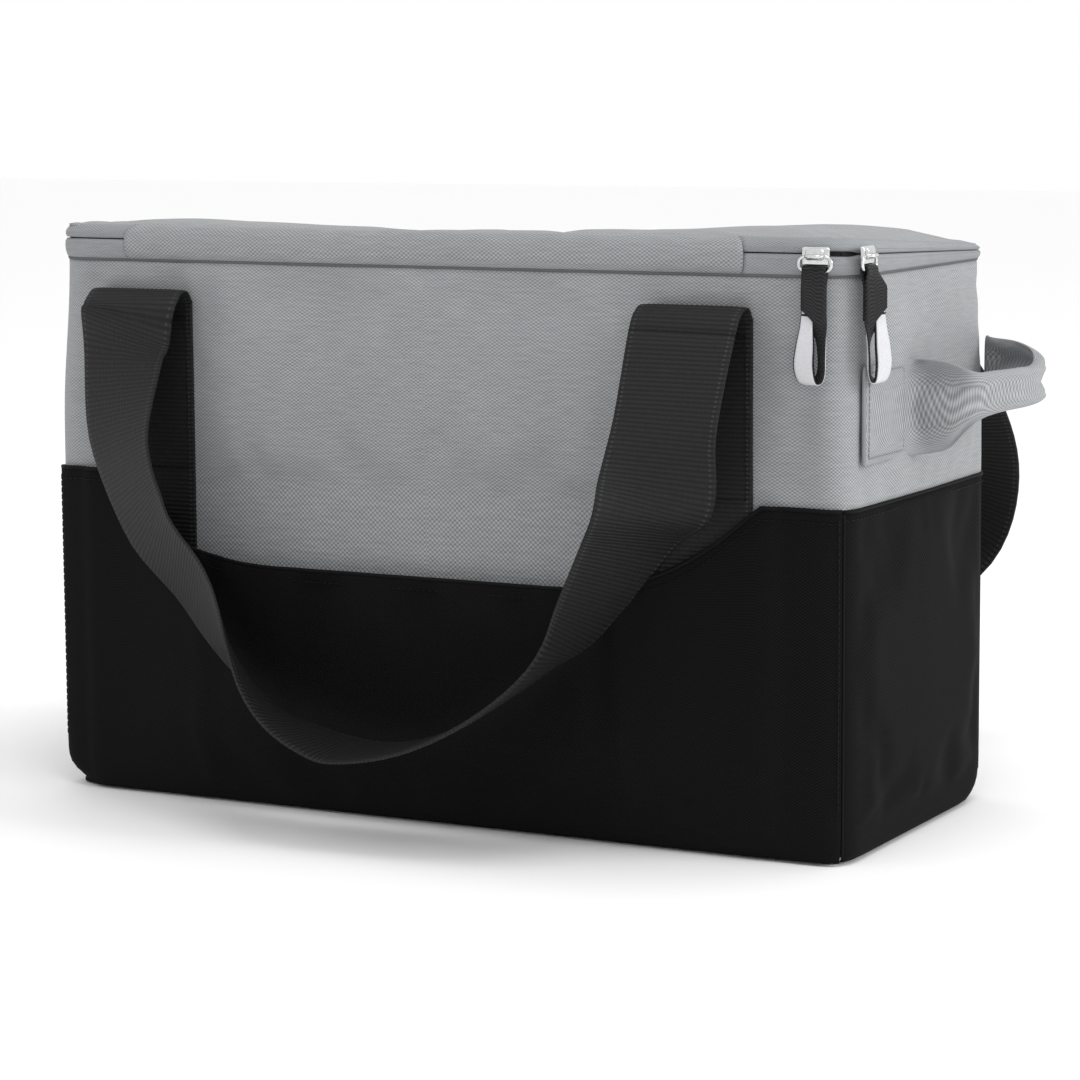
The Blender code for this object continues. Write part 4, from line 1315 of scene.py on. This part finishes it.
def webbing_strap(name, stops, side, start, end):
    """Sweep the webbing's rounded section along part of the route, from one stop to another."""
    steps = STEPS * (len(stops) - 1)
    first_row, last_row = STEPS * start, STEPS * end
    centres = [smooth_route([p for p, _ in stops], k / STEPS) for k in range(steps + 1)]
    twists = [smooth_route([(t, 0, 0) for _, t in stops], k / STEPS).x for k in range(steps + 1)]
    lengths = run_lengths(centres)
    section = []
    for k in range(SECTION_POINTS):
        turn = 2 * math.pi * k / SECTION_POINTS
        a = 0.5 * WEB_WIDE * math.copysign(abs(math.cos(turn)) ** 0.32, math.cos(turn))
        b = 0.5 * WEB_T * math.copysign(abs(math.sin(turn)) ** 0.5, math.sin(turn))
        section.append((a, b))
    section.append(section[0])

    def place(u, v):
        k = first_row + round(v)
        tangent = (centres[min(k + 1, steps)] - centres[max(k - 1, 0)]).normalized()
        twist = math.radians(twists[k])
        across = Vector((-math.cos(twist), side * math.sin(twist), 0))
        across = (across - tangent * across.dot(tangent)).normalized()
        normal = tangent.cross(across)
        a, b = section[round(u)]
        ripple = 0.35 * MM * noise.noise(Vector((a * 40, lengths[k] * 22, side)))
        free = ease((abs(centres[k].y) - HALF_Y - 6 * MM) / (10 * MM))
        return centres[k] + across * a + normal * (b + ripple * free)

    rows = last_row - first_row
    strap = cloth_sheet(name, SECTION_POINTS, rows, SECTION_POINTS, rows, place)
    for corner in strap.data.uv_layers[0].uv:
        k = first_row + min(max(round(corner.vector[1]), 0), rows)
        a = section[min(max(round(corner.vector[0]), 0), SECTION_POINTS)][0]
        corner.vector = (a, lengths[k])
    return close_tube(strap)


def webbing(name):
    """Polypropylene webbing: ribs 2 mm apart, warp lines along it with painted shade in the hollows between
    them, and a lighter line near each edge.
    """
    material, tree, shader = new_material(name)
    uv = add_node(tree, "ShaderNodeUVMap", uv_map="UVMap")
    split = add_node(tree, "ShaderNodeSeparateXYZ", {"Vector": uv.outputs["UV"]})
    ribs, warp = wave(tree, split.outputs["Y"], 2.0 * MM), wave(tree, split.outputs["X"], 1.25 * MM)
    weave = add_node(tree, "ShaderNodeMath", {0: ribs, 1: warp}, operation="MULTIPLY")
    mixed = add_node(tree, "ShaderNodeMath", {0: weave.outputs[0], 1: 0.35, 2: ribs},
                     operation="MULTIPLY_ADD")
    crown = add_node(tree, "ShaderNodeMapRange", {"Value": mixed.outputs[0], "From Min": -1.35,
                                                  "From Max": 1.35})
    side = add_node(tree, "ShaderNodeMath", {0: split.outputs["X"]}, operation="ABSOLUTE")
    edge = add_node(tree, "ShaderNodeMath", {0: side.outputs[0], 1: 22.6 * MM}, operation="SUBTRACT")
    near = add_node(tree, "ShaderNodeMath", {0: edge.outputs[0]}, operation="ABSOLUTE")
    selvedge = add_node(tree, "ShaderNodeMapRange", {"Value": near.outputs[0], "From Min": 0.35 * MM,
                                                     "From Max": 0.7 * MM, "To Min": 1.0, "To Max": 0.0})
    dash = add_node(tree, "ShaderNodeMapRange", {"Value": ribs, "From Min": 0.0, "From Max": 0.5})
    dashes = add_node(tree, "ShaderNodeMath", {0: selvedge.outputs[0], 1: dash.outputs[0]},
                      operation="MULTIPLY")
    yarn = uneven_yarn(tree, uv, 1100.0, 160.0)
    # darker where the weave sinks: painted shade between the ribs and the warp lines
    base = add_node(tree, "ShaderNodeMix", {"Factor": crown.outputs[0], 6: paint("#070708"),
                                            7: paint("#1F1F20")}, data_type="RGBA")
    lit = add_node(tree, "ShaderNodeMix", {"Factor": dashes.outputs[0], 6: base.outputs[2],
                                           7: paint("#303132")}, data_type="RGBA")
    shade = add_node(tree, "ShaderNodeMapRange", {"Value": yarn, "From Min": 0.3, "From Max": 0.7,
                                                  "To Min": 0.8, "To Max": 1.2})
    show_threads(tree, shader, lit.outputs[2], shade.outputs[0], crown.outputs[0], yarn, 0.8, 0.35 * MM)
    shader.inputs["Roughness"].default_value = 0.6
    shader.inputs["Specular IOR Level"].default_value = 0.25
    return material


webbing_black = webbing("black polypropylene webbing")
SEWN_OUT = HALF_Y + 2.3 * MM    # the face of a sewn leg
BOX_LOW = 155 * MM
BOX_HIGH = 224 * MM
BOX_HALF = 0.44 * WEB_WIDE
for label, right_half, left_half, side in (("front", FRONT_RIGHT, FRONT_LEFT, -1),
                                           ("back", BACK_ROUTE, BACK_ROUTE, 1)):
    stops = handle_route(right_half, left_half, side)
    last = len(stops) - 1
    # a leg and its fold are baked in place and left out of any body; the hanging loop goes with the handle
    for part, start, end in (("right_leg", 0, FOLD_END), ("left_leg", last - FOLD_END, last)):
        leg = webbing_strap(f"{label}_handle_{part}_webbing", stops, side, start, end)
        cover(leg, webbing_black)
        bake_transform(leg)
        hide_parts(f"{label}_handle_{part}", f"{label}_handle_{part[:-4]}_fold")
    loop = webbing_strap(f"{label}_handle_loop_webbing", stops, side, FOLD_END, last - FOLD_END)
    cover(loop, webbing_black)
    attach(loop, f"{label}_handle")
    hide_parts(f"{label}_handle_loop")
    # a box of stitching holds the top of each leg to the wall
    for leg_side in (-1, 1):
        middle = HANDLE_X + leg_side * LEG_X
        y = side * SEWN_OUT
        rows = []
        for edge in (-1, 1):
            x = middle + edge * BOX_HALF
            rows.append(stitches("row", [Vector((x, y, BOX_LOW + 70 * MM * k / 30)) for k in range(31)],
                                 lambda p, s=side: Vector((0, s, 0))))
        for z in (BOX_LOW, BOX_HIGH):
            rows.append(stitches("row", [Vector((middle - BOX_HALF + 2 * BOX_HALF * k / 20, y, z))
                                         for k in range(21)], lambda p, s=side: Vector((0, s, 0))))
        box = merge(f"{label}_leg_stitches_{'left' if leg_side < 0 else 'right'}", rows)
        cover(box, black_thread)
        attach(box, "bag_body")

# ---------------------------------------------------------------------------------------------------
# Grab handles, one at each end: a band of the grey cloth sewn flat near the front, crumpled where it
# leaves the wall, folded lengthwise into a grip, and opened out again to its seam near the back.
# ---------------------------------------------------------------------------------------------------
patch_low, patch_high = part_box("right_grab_patch")
GRAB_MIDDLE = 0.5 * (patch_low[2] + patch_high[2])
# (y, distance from the wall, half height, half thickness, lift of the middle) in millimetres
GRAB_ROUTE = [(-71, 1.5, 21, 1.0, 0), (-60, 1.5, 21, 1.0, 0), (-46, 1.6, 21, 1.0, 0),
              (-34, 1.7, 21, 1.0, 0), (-25, 2.2, 21, 1.1, 0), (-21, 5.0, 20.8, 1.2, 0),
              (-19.4, 12, 20.3, 1.3, 0.3), (-17.6, 19, 18.6, 1.6, 0.8), (-14.2, 25, 13.8, 2.4, 2.5),
              (-8.5, 29.2, 10.2, 3.2, 4.4), (2, 33, 9.2, 3.4, 5.6), (18, 37, 8.8, 3.4, 6),
              (34, 37.5, 8.6, 3.3, 6), (45, 36, 9.6, 3.0, 7), (51, 31.5, 12.0, 2.0, 8.5),
              (59, 21, 14.5, 1.4, 8.5), (66.5, 9, 15.5, 1.1, 8), (70.5, 2.6, 15.8, 1.0, 8),
              (74, 1.5, 15.8, 1.0, 8)]
GRAB_SECTION = 40
PATCH_FROM = {1: -71, -1: -60}  # where the sewn patch starts at the right end and at the left end


def grab_handle(name, end):
    """The whole band of one grab handle, as a closed tube of cloth swept along its route."""
    steps = STEPS * (len(GRAB_ROUTE) - 1)
    start = PATCH_FROM[end]
    centres = [smooth_route([(max(p[0], start + 3 * i), p[1], p[4]) for i, p in enumerate(GRAB_ROUTE)],
                            k / STEPS)
               * MM for k in range(steps + 1)]
    sizes = [smooth_route([(p[2], p[3], 0) for p in GRAB_ROUTE], k / STEPS) * MM for k in range(steps + 1)]
    lengths = run_lengths(centres)

    def section(u):
        turn = 2 * math.pi * u / GRAB_SECTION
        return (math.copysign(abs(math.cos(turn)) ** 0.45, math.cos(turn)),
                math.copysign(abs(math.sin(turn)) ** 0.6, math.sin(turn)))

    def place(u, v):
        k = round(v)
        step = centres[min(k + 1, steps)] - centres[max(k - 1, 0)]
        normal = Vector((-step.y, step.x, 0)).normalized()        # in (y, out)
        high, thick = section(round(u))
        wing = ease((centres[k].y - 2 * MM) / (8 * MM)) * (1 - ease((sizes[k].y - 2.2 * MM) / (1.3 * MM)))
        grip = ease((sizes[k].y - 2.4 * MM) / (0.9 * MM))
        pleat = wing * (2.7 * MM * math.sin(high * 5.2 + lengths[k] * 30 + 0.6)
                        + 1.1 * MM * math.sin(high * 11 - lengths[k] * 60))
        crease = -grip * 1.0 * MM * math.exp(-((high - 0.1) / 0.12) ** 2) * (1 if thick > 0 else 0)
        loose = crumple(Vector((lengths[k], high * 0.02, end * 0.3)), 16 * MM, 0.7 * MM) * (wing + grip)
        across = thick * sizes[k].y + pleat + crease + loose
        y = centres[k].x + normal.x * across
        out = max(centres[k].y + normal.y * across, 0.5 * MM)
        z = GRAB_MIDDLE + centres[k].z + high * sizes[k].x
        return Vector((end * (HALF_X + 0.4 * MM + out), y, z))

    band = cloth_sheet(name, GRAB_SECTION, steps, GRAB_SECTION, steps, place)
    for corner in band.data.uv_layers[0].uv:
        k = min(max(round(corner.vector[1]), 0), steps)
        turn = corner.vector[0] / GRAB_SECTION
        corner.vector = (lengths[k], 4 * sizes[k].x * abs(turn - 0.5))
    return close_tube(band)


for label, end in (("right", 1), ("left", -1)):
    band = grab_handle(f"{label}_grab_cloth", end)
    cover(band, grey_cloth)
    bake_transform(band)
    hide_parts(f"{label}_grab_patch", f"{label}_grab_near_wing", f"{label}_grab_grip",
                f"{label}_grab_far_wing")
    x = end * (HALF_X + 3.0 * MM)
    rows = []
    near = PATCH_FROM[end] + 3
    corners = [(near, 18), (-30, 18), (-30, -18), (near, -18), (near, 18)]
    for (y0, z0), (y1, z1) in zip(corners, corners[1:]):
        rows.append(stitches("row", [Vector((x, (y0 + (y1 - y0) * k / 20) * MM,
                                             GRAB_MIDDLE + (z0 + (z1 - z0) * k / 20) * MM))
                                     for k in range(21)], away, long=2.0 * MM, pitch=2.7 * MM))
    box = merge(f"{label}_grab_box_stitches", rows)
    cover(box, grey_thread)
    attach(box, "bag_body")
